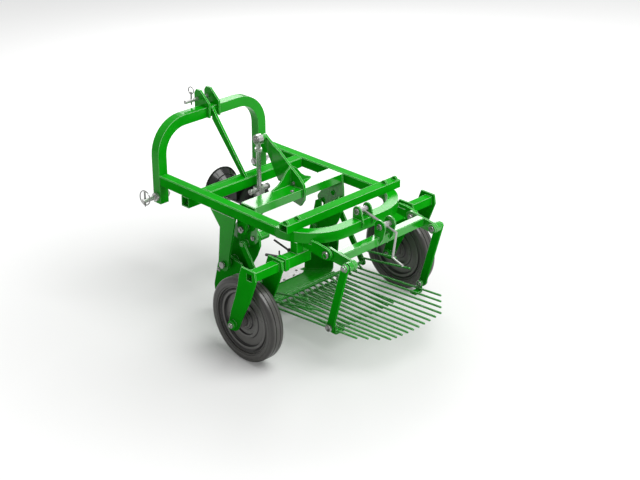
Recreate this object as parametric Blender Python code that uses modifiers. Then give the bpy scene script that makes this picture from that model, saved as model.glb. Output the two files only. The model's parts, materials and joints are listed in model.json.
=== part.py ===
"""Single-row vibrating potato harvester for a small tractor's three-point hitch.

Metres. +X is the machine's right, +Y is forward to the tractor, +Z is up.
The origin is on the ground, between the wheels across the machine.
"""
import math

import bmesh
import bpy
from mathutils import Matrix, Vector

# The middle of the overall length in the y used below, which starts at the side beams' front
MIDDLE_Y = -0.580
# Height of the ground in the z used below, where the wheels stand
GROUND_Z = 0.015

# Shared clearances
GAP = 0.0003            # between pieces that touch
PIN_PLAY = 0.0003       # radial play of a pin that turns in its hole
SIDE_PLAY = 0.006       # beside a plate that moves past another
PLATE = 0.010           # usual plate thickness
SIDES = (("left", -1.0), ("right", 1.0))

# Main frame
TUBE = 0.050            # square tube of the frame
TUBE_WALL = 0.004
HALF_WIDTH = 0.3415     # outer face of a side beam
BEAM_TOP = 0.610
CROSS_BEAM_Y = -0.250   # middle of the front cross beam
BEARING_BEAM_Y = -0.1475
REAR_BEAM_Y = -0.850    # rear face of the cross beam that lies on the bow
REAR_BEAM_HALF = 0.360
REAR_BEAM_HEIGHT = 0.037
LUG_PLACES = (0.276, 0.345)
LUG_RADIUS = 0.016
BOW_REAR_Y = -0.978     # rearmost face of the bow
BOW_RADIUS = 0.220      # outer radius of its corners
BEAM_REAR_Y = BOW_REAR_Y + BOW_RADIUS

# Hitch
ARCH_Y = 0.060          # middle plane of the arch
ARCH_TOP = 0.870
ARCH_FOOT = 0.464
ARCH_RADIUS = 0.170     # outer radius of its shoulders
LOWER_PIN_Z = ARCH_FOOT + 0.034
LOWER_PIN_RADIUS = 0.011
LOWER_PIN_REACH = 0.085
TOP_PIN_Y = 0.100
TOP_PIN_Z = ARCH_TOP + 0.030
TOP_PIN_RADIUS = 0.0095
TOP_PIN_REACH = 0.115   # how far it reaches to the left
EAR_INNER = 0.026
BRACE_WIDTH = 0.050
BRACE_THICK = 0.012
BRACE_SHIFT = 0.060     # how far its foot lies to the left of its head

# Drive
DRIVE_Z = 0.465
SHAFT_RADIUS = 0.0175
SHAFT_FRONT_Y = 0.020
HOUSING_RADIUS = 0.042
HOUSING_FRONT_Y = -0.075
FLYWHEEL_RADIUS = 0.088
FLYWHEEL_FRONT_Y = -0.240
FLYWHEEL_THICK = 0.020
CRANK_THROW = 0.020
CRANK_PIN_RADIUS = 0.010
CRANK_PIN_LENGTH = 0.018
GUARD_RADIUS = 0.100
GUARD_FRONT_Y = -0.010
GUARD_WALL = 0.003

# Rocker
ROCKER_Y = -0.503
ROCKER_Z = 0.503
CHANNEL_HALF = HALF_WIDTH - TUBE - 0.0145
CHANNEL_FRONT_Y = -0.470
CHANNEL_REAR_Y = -0.560
CHANNEL_TOP = 0.615
CHANNEL_DEPTH = 0.040
CHANNEL_WALL = 0.006
END_PLATE = 0.008
ROCKER_PIN_RADIUS = 0.012
LEVER_X = 0.022
LEVER_THICK = 0.012
ROD_X = -0.020
ROD_Y = -0.305
ROD_TOP_Z = 0.800
ROD_RADIUS = 0.011
ROD_JOINT_Z = 0.550
DRIVE_PIN_Y = -0.545    # rocker pin that works in the share carrier's slot
DRIVE_PIN_Z = 0.462
DRIVE_PIN_RADIUS = 0.010
LOBE_Y = -0.418         # front lobe of the rocker's end plates
LOBE_Z = 0.452
HANG_PIN_Y = -0.500     # rocker pin that the rear sieve hangs on
HANG_PIN_Z = 0.425
HANG_PIN_RADIUS = 0.010

# Share and front sieve
CARRIER_Y = -0.405
CARRIER_Z = 0.303
CARRIER_PIN_RADIUS = 0.012
CARRIER_INNER = CHANNEL_HALF - 0.020
SIDE_PLATE_INNER = HALF_WIDTH - 0.0455
SHARE_HALF = 0.205
SHARE_TIP_Y = -0.190
SHARE_REAR_Y = -0.385
SHARE_REAR_Z = 0.066
SHARE_THICK = 0.008
CHUTE_REAR_Y = -0.580
CHUTE_REAR_Z = 0.140
CHUTE_HALF = 0.200
CHUTE_WALL = 0.004
CHUTE_SIDE = 0.190
CHUTE_TOP = 0.250
FRONT_TINES = 11
FRONT_PITCH = 2.0 * (CHUTE_HALF - 0.020) / (FRONT_TINES - 1)
TINE_RADIUS = 0.005
FRONT_SIEVE_END_Y = -0.985

# Rear sieve
REAR_TINES = 16
REAR_PITCH = 2.0 * (HALF_WIDTH - 0.0655) / (REAR_TINES - 1)
SIEVE_BAR_Y = -0.670
SIEVE_BAR_Z = 0.182
SIEVE_BAR_RADIUS = 0.008
SIEVE_KINK_Y = -0.700
SIEVE_KINK_Z = 0.155
SIEVE_END_Y = -1.283
SIEVE_END_Z = 0.181
SIDE_RISE = 0.031       # how much higher the outermost tines end
GUARD_TINES = ((0.200, -0.987, 0.266), (0.240, -0.900, 0.290))   # front z, rear y, rear z
HANGER_INNER = CHANNEL_HALF + 0.026
HANGER_THICK = 0.008

# Links and their frame
LINK_FOOT_Y = -1.054
LINK_FOOT_Z = 0.215
LINK_HEAD_Y = -1.140
LINK_HEAD_Z = 0.530
LINK_INNER = HALF_WIDTH - 0.0435
LINK_WIDTH = 0.038
LINK_PIN_RADIUS = 0.010
ARM_PIVOT_Y = -1.010
ARM_PIVOT_Z = 0.543
ARM_INNER = LINK_INNER - 0.040
ARM_PIN_RADIUS = 0.010
CROSS_TUBE = 0.040
CROSS_TUBE_Y = -1.068
CROSS_TUBE_Z = 0.545
SCREW_UPPER_Y = -0.952
SCREW_UPPER_Z = 0.645
SCREW_LOWER_Y = -1.087
SCREW_LOWER_Z = 0.615
SCREW_RADIUS = 0.006
SCREW_EAR_INNER = 0.029
SCREW_EAR_THICK = 0.006

# Wheels
WHEEL_X = HALF_WIDTH + 0.156
WHEEL_Y = -0.737
WHEEL_RADIUS = 0.199
WHEEL_Z = GROUND_Z + WHEEL_RADIUS
TYRE_WIDTH = 0.076
RIM_RADIUS = WHEEL_RADIUS - 0.044
AXLE_RADIUS = 0.0125
HUB_HALF = 0.060
FORK_INNER_X = WHEEL_X - 0.0775
FORK_OUTER_X = WHEEL_X + 0.0775
FORK_THICK = 0.008
SLEEVE_Y = -0.845
SLEEVE_Z = 0.480
SLEEVE_SIZE = 0.050
SLEEVE_IN = HALF_WIDTH - 0.1045
SLEEVE_OUT = HALF_WIDTH + 0.0515
STUB_SIZE = 0.040
STUB_IN = HALF_WIDTH - 0.0795
POST_SIZE = 0.040
POST_X = HALF_WIDTH - 0.0445

GREEN = ("green_paint", (0.010, 0.300, 0.012, 1.0), 0.35, 0.0)
STEEL = ("zinc_steel", (0.560, 0.560, 0.540, 1.0), 0.35, 1.0)
POLISHED = ("polished_steel", (0.800, 0.800, 0.800, 1.0), 0.15, 1.0)
DARK = ("dark_cast", (0.050, 0.050, 0.050, 1.0), 0.45, 0.6)
RUBBER = ("rubber", (0.035, 0.034, 0.033, 1.0), 0.75, 0.0)
DISC_GREY = ("wheel_grey", (0.060, 0.058, 0.056, 1.0), 0.50, 0.0)
BLACK = ("black_plastic", (0.020, 0.020, 0.020, 1.0), 0.50, 0.0)


def clear_scene():
    for item in list(bpy.data.objects):
        bpy.data.objects.remove(item, do_unlink=True)


def new_collection(name):
    collection = bpy.data.collections.new(name)
    bpy.context.scene.collection.children.link(collection)
    return collection


clear_scene()
PARTS = new_collection("potato_harvester")


def paint(name, look):
    """Give one sub-part its own material."""
    base, colour, roughness, metallic = look
    material = bpy.data.materials.new(base + "_" + name)
    material.use_nodes = True
    shader = material.node_tree.nodes["Principled BSDF"]
    shader.inputs["Base Color"].default_value = colour
    shader.inputs["Roughness"].default_value = roughness
    shader.inputs["Metallic"].default_value = metallic
    return material


def to_parts(item):
    for collection in list(item.users_collection):
        collection.objects.unlink(item)
    PARTS.objects.link(item)


def set_origin(item, point):
    """Move the origin to a point and leave the shape where it is."""
    shift = Vector(point) - item.location
    item.data.transform(Matrix.Translation(-shift))
    item.location = Vector(point)


def finish(item, name, look, origin=None, smooth=None):
    item.name = name
    item.data.name = name
    item.data.materials.clear()
    item.data.materials.append(paint(name, look))
    if origin is not None:
        set_origin(item, origin)
    if smooth is not None:
        item.data.shade_smooth()
        item.data.set_sharp_from_angle(angle=math.radians(smooth))
    return item


def mesh_object(name, mesh):
    item = bpy.data.objects.new(name, mesh)
    PARTS.objects.link(item)
    return item


def box(low, high):
    """A box between two corners."""
    low = Vector(low)
    high = Vector(high)
    bpy.ops.mesh.primitive_cube_add(size=1.0)
    item = bpy.context.object
    to_parts(item)
    size = high - low
    item.data.transform(Matrix.Diagonal((size.x, size.y, size.z, 1.0)))
    item.data.transform(Matrix.Translation((low + high) / 2.0))
    return item


def bar(start, end, radius, vertices=20):
    """A round bar between two points."""
    start = Vector(start)
    end = Vector(end)
    along = end - start
    bpy.ops.mesh.primitive_cylinder_add(vertices=vertices, radius=radius, depth=along.length)
    item = bpy.context.object
    to_parts(item)
    turn = Vector((0.0, 0.0, 1.0)).rotation_difference(along.normalized())
    item.data.transform(turn.to_matrix().to_4x4())
    item.data.transform(Matrix.Translation((start + end) / 2.0))
    return item


def arc(centre, radius, start, end, steps):
    """Points on an arc, angles in degrees."""
    points = []
    for step in range(steps + 1):
        angle = math.radians(start + (end - start) * step / steps)
        points.append((centre[0] + radius * math.cos(angle), centre[1] + radius * math.sin(angle)))
    return points


def circle(centre, radius, steps=20):
    return arc(centre, radius, 0.0, 360.0, steps)[:-1]


def slab(loops, low, high, plane):
    """A flat outline with holes, extruded from low to high along the plane's normal."""
    curve = bpy.data.curves.new("outline", "CURVE")
    curve.dimensions = "2D"
    curve.fill_mode = "BOTH"
    curve.extrude = (high - low) / 2.0
    for loop in loops:
        spline = curve.splines.new("POLY")
        spline.points.add(len(loop) - 1)
        for point, (u, v) in zip(spline.points, loop):
            point.co = (u, v, 0.0, 1.0)
        spline.use_cyclic_u = True
    item = bpy.data.objects.new("outline", curve)
    PARTS.objects.link(item)
    middle = (low + high) / 2.0
    frames = {
        "x": Matrix(((0, 0, 1, middle), (1, 0, 0, 0), (0, 1, 0, 0), (0, 0, 0, 1))),
        "y": Matrix(((1, 0, 0, 0), (0, 0, -1, middle), (0, 1, 0, 0), (0, 0, 0, 1))),
        "z": Matrix(((1, 0, 0, 0), (0, 1, 0, 0), (0, 0, 1, middle), (0, 0, 0, 1))),
    }
    return solid_from_curve(item, frames[plane])


def solid_from_curve(item, frame=None):
    """Turn a curve object into a welded mesh object."""
    bpy.context.view_layer.update()
    graph = bpy.context.evaluated_depsgraph_get()
    mesh = bpy.data.meshes.new_from_object(item.evaluated_get(graph))
    shape = bmesh.new()
    shape.from_mesh(mesh)
    bmesh.ops.remove_doubles(shape, verts=shape.verts, dist=0.00001)
    bmesh.ops.recalc_face_normals(shape, faces=shape.faces)
    shape.to_mesh(mesh)
    shape.free()
    if frame is not None:
        mesh.transform(frame)
    solid = mesh_object("solid", mesh)
    bpy.data.objects.remove(item, do_unlink=True)
    return solid


def rod(points, radius, resolution=1):
    """A bent round bar through the points."""
    curve = bpy.data.curves.new("rod", "CURVE")
    curve.dimensions = "3D"
    curve.bevel_depth = radius
    curve.bevel_resolution = resolution
    curve.use_fill_caps = True
    spline = curve.splines.new("POLY")
    spline.points.add(len(points) - 1)
    for point, place in zip(spline.points, points):
        point.co = (place[0], place[1], place[2], 1.0)
    item = bpy.data.objects.new("rod", curve)
    PARTS.objects.link(item)
    return solid_from_curve(item)


def turned(profile, centre, axis, steps=48):
    """A closed profile of (along, radius) pairs turned about an axis through the centre."""
    shape = bmesh.new()
    corners = [shape.verts.new((radius, 0.0, along)) for along, radius in profile]
    edges = [shape.edges.new((corners[i], corners[(i + 1) % len(corners)])) for i in range(len(corners))]
    mesh = bpy.data.meshes.new("turned")
    shape.to_mesh(mesh)
    shape.free()
    item = mesh_object("turned", mesh)
    screw = item.modifiers.new("Screw", "SCREW")
    screw.axis = "Z"
    screw.steps = steps
    screw.render_steps = steps
    screw.use_merge_vertices = True
    screw.merge_threshold = 0.00001
    bake(item)
    face_out(item)
    turn = Vector((0.0, 0.0, 1.0)).rotation_difference(Vector(axis))
    item.data.transform(turn.to_matrix().to_4x4())
    item.data.transform(Matrix.Translation(centre))
    return item


def face_out(item):
    shape = bmesh.new()
    shape.from_mesh(item.data)
    bmesh.ops.recalc_face_normals(shape, faces=shape.faces)
    shape.to_mesh(item.data)
    shape.free()


def bake(item):
    """Replace an object's mesh by its evaluated mesh."""
    bpy.context.view_layer.update()
    graph = bpy.context.evaluated_depsgraph_get()
    mesh = bpy.data.meshes.new_from_object(item.evaluated_get(graph))
    item.modifiers.clear()
    item.data = mesh


def combine(item, others, operation):
    """Join others to the item or cut them from it, and remove them."""
    for other in others:
        step = item.modifiers.new("Boolean", "BOOLEAN")
        step.operation = operation
        step.solver = "EXACT"
        step.object = other
        bake(item)
        bpy.data.objects.remove(other, do_unlink=True)
    return item


def join(item, *others):
    return combine(item, others, "UNION")


def cut(item, *others):
    return combine(item, others, "DIFFERENCE")


def soften(item, width, segments=1):
    """Round the sharp edges of a piece."""
    bevel = item.modifiers.new("Bevel", "BEVEL")
    bevel.width = width
    bevel.segments = segments
    bevel.limit_method = "ANGLE"
    bevel.angle_limit = math.radians(50.0)
    return item


def hollow_tube(low, high, wall):
    """A square tube along X, open at both ends."""
    tube = box(low, high)
    core = box(
        (low[0] - 0.01, low[1] + wall, low[2] + wall),
        (high[0] + 0.01, high[1] - wall, high[2] - wall),
    )
    return cut(tube, core)


def strip(start, end, width, steps=8):
    """The outline of a flat bar with round ends between two points."""
    heading = math.degrees(math.atan2(end[1] - start[1], end[0] - start[0]))
    outline = arc(end, width / 2.0, heading - 90.0, heading + 90.0, steps)
    outline += arc(start, width / 2.0, heading + 90.0, heading + 270.0, steps)
    return outline


def span(side, near, far):
    """Ordered X limits of a piece between two distances from the middle plane."""
    return (min(side * near, side * far), max(side * near, side * far))


# Hitch

def hitch_arch():
    foot = ARCH_FOOT
    inner_radius = ARCH_RADIUS - TUBE
    hub = HALF_WIDTH - ARCH_RADIUS
    rise = ARCH_TOP - ARCH_RADIUS
    outline = [(HALF_WIDTH, foot)]
    outline += arc((hub, rise), ARCH_RADIUS, 0.0, 90.0, 10)
    outline += arc((-hub, rise), ARCH_RADIUS, 90.0, 180.0, 10)
    outline += [(-HALF_WIDTH, foot), (-HALF_WIDTH + TUBE, foot)]
    outline += arc((-hub, rise), inner_radius, 180.0, 90.0, 10)
    outline += arc((hub, rise), inner_radius, 90.0, 0.0, 10)
    outline += [(HALF_WIDTH - TUBE, foot)]
    arch = slab([outline], ARCH_Y - TUBE / 2.0, ARCH_Y + TUBE / 2.0, "y")
    bore = bar((-0.5, ARCH_Y, LOWER_PIN_Z), (0.5, ARCH_Y, LOWER_PIN_Z), LOWER_PIN_RADIUS + GAP)
    cut(arch, bore)
    soften(arch, 0.004)
    return finish(arch, "hitch_arch", GREEN)


def lower_hitch_pin(name, side):
    leg_in = HALF_WIDTH - TUBE
    pin = bar((side * (leg_in - 0.022), ARCH_Y, LOWER_PIN_Z),
              (side * (HALF_WIDTH + LOWER_PIN_REACH), ARCH_Y, LOWER_PIN_Z), LOWER_PIN_RADIUS)
    collar = bar((side * (HALF_WIDTH + GAP), ARCH_Y, LOWER_PIN_Z),
                 (side * (HALF_WIDTH + 0.014), ARCH_Y, LOWER_PIN_Z), 0.021)
    nut = bar((side * (leg_in - GAP), ARCH_Y, LOWER_PIN_Z),
              (side * (leg_in - 0.016), ARCH_Y, LOWER_PIN_Z), 0.018, 6)
    join(pin, collar, nut)
    return finish(pin, "lower_hitch_pin_" + name, STEEL, smooth=40)


def top_hitch_ear(name, side):
    rear = ARCH_Y - TUBE / 2.0 - GAP
    front = ARCH_Y + TUBE / 2.0 + GAP
    seat = ARCH_TOP + GAP
    outline = [
        (rear - 0.015, ARCH_TOP - TUBE),
        (rear, ARCH_TOP - TUBE),
        (rear, seat),
        (front, seat),
        (front, ARCH_TOP - 0.020),
        (front + 0.038, ARCH_TOP - 0.020),
        (front + 0.038, TOP_PIN_Z + 0.025),
        (TOP_PIN_Y + 0.010, TOP_PIN_Z + 0.045),
        (TOP_PIN_Y - 0.020, TOP_PIN_Z + 0.045),
        (rear - 0.015, ARCH_TOP + 0.022),
    ]
    hole = circle((TOP_PIN_Y, TOP_PIN_Z), TOP_PIN_RADIUS + GAP)
    low, high = span(side, EAR_INNER, EAR_INNER + PLATE)
    ear = slab([outline, hole], low, high, "x")
    return finish(ear, "top_hitch_ear_" + name, GREEN)


def top_hitch_pin():
    pin = bar((-TOP_PIN_REACH, TOP_PIN_Y, TOP_PIN_Z), (0.052, TOP_PIN_Y, TOP_PIN_Z), TOP_PIN_RADIUS)
    head = bar((EAR_INNER + PLATE + GAP, TOP_PIN_Y, TOP_PIN_Z), (0.056, TOP_PIN_Y, TOP_PIN_Z), 0.015)
    join(pin, head)
    return finish(pin, "top_hitch_pin", STEEL, smooth=40)


def mast_brace():
    head_y = ARCH_Y - TUBE / 2.0 - GAP
    foot_z = BEAM_TOP + GAP
    foot_y = CROSS_BEAM_Y
    outline = [
        (head_y, ARCH_TOP - 0.064),
        (head_y, ARCH_TOP - 0.004),
        (foot_y - 0.020, foot_z),
        (foot_y + BRACE_WIDTH - 0.020, foot_z),
    ]
    brace = slab([outline], -BRACE_THICK / 2.0, BRACE_THICK / 2.0, "x")
    lean = BRACE_SHIFT / (head_y - foot_y)
    for vertex in brace.data.vertices:
        vertex.co.x += lean * (vertex.co.y - head_y)
    return finish(brace, "mast_brace", GREEN)


# Frame

def side_beam(name, side):
    low, high = span(side, HALF_WIDTH - TUBE, HALF_WIDTH)
    beam = box((low, BEAM_REAR_Y, BEAM_TOP - TUBE), (high, ARCH_Y - TUBE / 2.0 - GAP, BEAM_TOP))
    soften(beam, 0.004)
    return finish(beam, "side_beam_" + name, GREEN)


def front_cross_beam():
    reach = HALF_WIDTH - TUBE - GAP
    beam = box((-reach, CROSS_BEAM_Y - TUBE / 2.0, BEAM_TOP - TUBE),
               (reach, CROSS_BEAM_Y + TUBE / 2.0, BEAM_TOP))
    soften(beam, 0.003)
    return finish(beam, "front_cross_beam", GREEN)


def bearing_beam():
    top = BEAM_TOP - TUBE - GAP
    beam = hollow_tube((-HALF_WIDTH, BEARING_BEAM_Y - TUBE / 2.0, top - TUBE),
                       (HALF_WIDTH, BEARING_BEAM_Y + TUBE / 2.0, top), TUBE_WALL)
    return finish(beam, "bearing_beam", GREEN)


def drive_bearing():
    top = BEAM_TOP - 2.0 * TUBE - 2.0 * GAP
    rear = FLYWHEEL_FRONT_Y + 0.008
    housing = bar((0.0, rear, DRIVE_Z), (0.0, HOUSING_FRONT_Y, DRIVE_Z), HOUSING_RADIUS, 28)
    saddle = box((-0.060, BEARING_BEAM_Y - 0.040, DRIVE_Z), (0.060, BEARING_BEAM_Y + 0.040, top))
    join(housing, saddle)
    lid = box((-0.1, -0.4, top), (0.1, 0.1, top + 0.1))
    bore = bar((0.0, rear - 0.02, DRIVE_Z), (0.0, -0.05, DRIVE_Z), SHAFT_RADIUS + PIN_PLAY, 28)
    cut(housing, lid, bore)
    return finish(housing, "drive_bearing", DARK, smooth=40)


def drive_guard():
    """A cone guard round the input shaft, open to the front."""
    narrow = HOUSING_RADIUS + GUARD_WALL
    rear = HOUSING_FRONT_Y + GAP
    depth = GUARD_FRONT_Y - rear
    profile = [
        (0.0, GUARD_RADIUS - GUARD_WALL),
        (0.0, GUARD_RADIUS),
        (-depth, narrow),
        (-depth, SHAFT_RADIUS + 0.006),
        (-depth + GUARD_WALL, SHAFT_RADIUS + 0.006),
        (-depth + GUARD_WALL, narrow - GUARD_WALL),
    ]
    guard = turned(profile, (0.0, rear + depth, DRIVE_Z), (0.0, 1.0, 0.0), 40)
    return finish(guard, "drive_guard", BLACK, smooth=40)


def rear_beam():
    low_y = REAR_BEAM_Y
    base = BEAM_TOP + GAP
    beam = hollow_tube((-REAR_BEAM_HALF, low_y, base),
                       (REAR_BEAM_HALF, low_y + TUBE, base + REAR_BEAM_HEIGHT), TUBE_WALL)
    top = base + REAR_BEAM_HEIGHT
    for place in LUG_PLACES:
        for side in (-1.0, 1.0):
            outline = arc((low_y + 0.022, top), LUG_RADIUS, 0.0, 180.0, 8)
            outline += [(low_y + 0.022 - LUG_RADIUS, top - 0.002), (low_y + 0.022 + LUG_RADIUS, top - 0.002)]
            lug = slab([outline], side * place - 0.005, side * place + 0.005, "x")
            join(beam, lug)
    return finish(beam, "rear_beam", GREEN)


def offset_outline(path, half):
    """A closed outline at a distance on both sides of an open path."""
    left = []
    right = []
    for i, here in enumerate(path):
        before = path[max(i - 1, 0)]
        after = path[min(i + 1, len(path) - 1)]
        along = Vector((after[0] - before[0], after[1] - before[1])).normalized()
        left.append((here[0] - along.y * half, here[1] + along.x * half))
        right.append((here[0] + along.y * half, here[1] - along.x * half))
    return left + right[::-1]


def bow_tube():
    """The U-shaped tube that closes the frame behind, with the adjusting screw's upper ears."""
    half = TUBE / 2.0
    leg = HALF_WIDTH - half
    hub = HALF_WIDTH - BOW_RADIUS
    bend = arc((hub, BEAM_REAR_Y), BOW_RADIUS - half, 0.0, -90.0, 18)
    path = [(leg, BEAM_REAR_Y - GAP), (leg, BEAM_REAR_Y - 0.004)] + bend[1:]
    path += [(-x, y) for x, y in path[::-1]]
    bow = slab([offset_outline(path, half)], BEAM_TOP - TUBE, BEAM_TOP, "z")
    soften(bow, 0.004)
    bake(bow)
    for side in (-1.0, 1.0):
        low, high = span(side, SCREW_EAR_INNER, SCREW_EAR_INNER + SCREW_EAR_THICK)
        outline = [(SCREW_UPPER_Y + 0.026, BEAM_TOP - 0.004)]
        outline += arc((SCREW_UPPER_Y, SCREW_UPPER_Z), 0.025, 0.0, 170.0, 12)
        outline += [(BOW_REAR_Y - 0.012, BEAM_TOP - 0.010), (BOW_REAR_Y - 0.006, BEAM_TOP - 0.028),
                    (BOW_REAR_Y + 0.004, BEAM_TOP - 0.028), (BOW_REAR_Y + 0.004, BEAM_TOP - 0.004)]
        join(bow, slab([outline], low, high, "x"))
    return finish(bow, "bow_tube", GREEN)


def wheel_post(name, side):
    """The post under a side beam with the sleeve that takes the wheel's stub."""
    half = SLEEVE_SIZE / 2.0
    top = BEAM_TOP - TUBE - GAP
    low, high = span(side, SLEEVE_IN, SLEEVE_OUT)
    sleeve = box((low, SLEEVE_Y - half, SLEEVE_Z - half), (high, SLEEVE_Y + half, SLEEVE_Z + half))
    collar_low, collar_high = span(side, SLEEVE_OUT - 0.022, SLEEVE_OUT)
    rim = half + 0.003
    collar = box((collar_low, SLEEVE_Y - rim, SLEEVE_Z - rim), (collar_high, SLEEVE_Y + rim, SLEEVE_Z + rim))
    post = box((side * POST_X - POST_SIZE / 2.0, SLEEVE_Y - POST_SIZE / 2.0, SLEEVE_Z + half - 0.002),
               (side * POST_X + POST_SIZE / 2.0, SLEEVE_Y + POST_SIZE / 2.0, top))
    join(sleeve, collar, post)
    inner = STUB_SIZE / 2.0 + PIN_PLAY
    core = box((low - 0.01, SLEEVE_Y - inner, SLEEVE_Z - inner), (high + 0.01, SLEEVE_Y + inner, SLEEVE_Z + inner))
    cut(sleeve, core)
    return finish(sleeve, "wheel_post_" + name, GREEN)


def clamp_screw(name, side):
    """The screw with a cross pin that clamps the stub in its sleeve."""
    face = SLEEVE_Y + SLEEVE_SIZE / 2.0 + GAP
    x = side * (POST_X + 0.045)
    tip = (x + side * 0.037, face + 0.088, SLEEVE_Z)
    screw = bar((x, face + 0.004, SLEEVE_Z), tip, 0.006, 12)
    nut = bar((x, face, SLEEVE_Z), (x, face + 0.010, SLEEVE_Z), 0.012, 6)
    pin_x = x + side * 0.011
    handle = bar((pin_x, face + 0.028, SLEEVE_Z - 0.030), (pin_x, face + 0.028, SLEEVE_Z + 0.030), 0.0035, 10)
    join(screw, nut, handle)
    return finish(screw, "clamp_screw_" + name, STEEL, smooth=40)


def share_leg(name, side):
    """The plate under a side beam that carries the share, with its pivot pin."""
    top = BEAM_TOP - TUBE - GAP
    outline = [(-0.493, top), (-0.442, CARRIER_Z + 0.040)]
    outline += arc((CARRIER_Y + 0.002, CARRIER_Z), 0.034, 200.0, 350.0, 10)
    outline += [(-0.373, CARRIER_Z + 0.020), (-0.388, top - 0.072), (-0.327, top)]
    low, high = span(side, HALF_WIDTH - PLATE, HALF_WIDTH)
    leg = slab([outline], low, high, "x")
    pin = bar((side * (HALF_WIDTH + 0.014), CARRIER_Y, CARRIER_Z),
              (side * (CARRIER_INNER - 0.012), CARRIER_Y, CARRIER_Z), CARRIER_PIN_RADIUS)
    spacer = bar((side * (HALF_WIDTH - PLATE + 0.001), CARRIER_Y, CARRIER_Z),
                 (side * (SIDE_PLATE_INNER + PLATE + 0.001), CARRIER_Y, CARRIER_Z), 0.020)
    join(leg, pin, spacer)
    return finish(leg, "share_leg_" + name, GREEN)


def rocker_bracket(name, side):
    """The plate under a side beam with the pin that the rocker swings on."""
    top = BEAM_TOP - TUBE - GAP
    inner = CHANNEL_HALF + END_PLATE / 2.0 + 0.020
    low, high = span(side, inner, inner + PLATE)
    outline = [(ROCKER_Y - 0.032, top)]
    outline += arc((ROCKER_Y, ROCKER_Z), 0.027, 180.0, 360.0, 10)
    outline += [(ROCKER_Y + 0.032, top)]
    bracket = slab([outline], low, high, "x")
    pin = bar((side * (inner + PLATE + 0.010), ROCKER_Y, ROCKER_Z),
              (side * (CHANNEL_HALF - END_PLATE / 2.0 - 0.004), ROCKER_Y, ROCKER_Z), ROCKER_PIN_RADIUS)
    spacer = bar((side * (inner + 0.001), ROCKER_Y, ROCKER_Z),
                 (side * (CHANNEL_HALF + END_PLATE / 2.0 + 0.001), ROCKER_Y, ROCKER_Z), 0.018)
    join(bracket, pin, spacer)
    return finish(bracket, "rocker_bracket_" + name, GREEN)


def sieve_bracket(name, side):
    """The plate under the bow with the pin of the sieve's arm."""
    top = BEAM_TOP - TUBE - GAP
    inner = ARM_INNER + PLATE + SIDE_PLAY
    low, high = span(side, inner, inner + PLATE)
    behind = BEAM_REAR_Y - math.sqrt(BOW_RADIUS ** 2 - (inner - HALF_WIDTH + BOW_RADIUS) ** 2) - 0.002
    front = SLEEVE_Y - POST_SIZE / 2.0 - GAP
    outline = [(front, top), (front, top - 0.026), (ARM_PIVOT_Y + 0.018, ARM_PIVOT_Z - 0.028)]
    outline += arc((ARM_PIVOT_Y, ARM_PIVOT_Z), 0.027, 270.0, 90.0, 10)
    outline += [(ARM_PIVOT_Y + 0.050, top + 0.018), (behind, top + 0.018), (behind, top)]
    bracket = slab([outline], low, high, "x")
    pin = bar((side * (inner + PLATE + 0.012), ARM_PIVOT_Y, ARM_PIVOT_Z),
              (side * (ARM_INNER - 0.010), ARM_PIVOT_Y, ARM_PIVOT_Z), ARM_PIN_RADIUS)
    spacer = bar((side * (inner + 0.001), ARM_PIVOT_Y, ARM_PIVOT_Z),
                 (side * (ARM_INNER + PLATE + 0.001), ARM_PIVOT_Y, ARM_PIVOT_Z), 0.016)
    join(bracket, pin, spacer)
    return finish(bracket, "sieve_bracket_" + name, GREEN)


# Drive

def drive_shaft():
    shaft = bar((0.0, FLYWHEEL_FRONT_Y + GAP, DRIVE_Z), (0.0, SHAFT_FRONT_Y, DRIVE_Z), SHAFT_RADIUS, 24)
    return finish(shaft, "drive_shaft", STEEL, origin=(0.0, BEARING_BEAM_Y, DRIVE_Z), smooth=40)


def crank_disc():
    rear = FLYWHEEL_FRONT_Y - FLYWHEEL_THICK
    disc = bar((0.0, FLYWHEEL_FRONT_Y, DRIVE_Z), (0.0, rear, DRIVE_Z), FLYWHEEL_RADIUS, 40)
    pin = bar((-CRANK_THROW, rear + 0.002, DRIVE_Z),
              (-CRANK_THROW, rear - CRANK_PIN_LENGTH, DRIVE_Z), CRANK_PIN_RADIUS, 16)
    join(disc, pin)
    return finish(disc, "crank_disc", DARK, origin=(0.0, FLYWHEEL_FRONT_Y, DRIVE_Z), smooth=40)


def connecting_rod():
    """The rod from the crank to the rocker's lever, with a joint at each end."""
    front = FLYWHEEL_FRONT_Y - FLYWHEEL_THICK - CRANK_PIN_LENGTH - 0.006
    rear = ROD_Y - 0.020
    yoke = box((ROD_X - 0.018, rear, DRIVE_Z - 0.018), (ROD_X + 0.018, front, ROD_JOINT_Z + 0.012))
    cross = bar((ROD_X - 0.058, ROD_Y, ROD_JOINT_Z), (ROD_X + 0.058, ROD_Y, ROD_JOINT_Z), 0.0115, 16)
    stem = bar((ROD_X, ROD_Y, ROD_JOINT_Z), (ROD_X, ROD_Y, ROD_TOP_Z - 0.005), ROD_RADIUS, 16)
    nut = bar((ROD_X, ROD_Y, ROD_TOP_Z - 0.060), (ROD_X, ROD_Y, ROD_TOP_Z - 0.044), 0.018, 6)
    eye = bar((ROD_X - 0.014, ROD_Y, ROD_TOP_Z), (ROD_X + 0.014, ROD_Y, ROD_TOP_Z), 0.024, 24)
    join(stem, yoke, cross, nut, eye)
    hole = bar((ROD_X - 0.03, ROD_Y, ROD_TOP_Z), (ROD_X + 0.03, ROD_Y, ROD_TOP_Z), 0.009 + PIN_PLAY, 20)
    cut(stem, hole)
    return finish(stem, "connecting_rod", STEEL, origin=(ROD_X, ROD_Y, ROD_TOP_Z), smooth=40)


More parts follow.
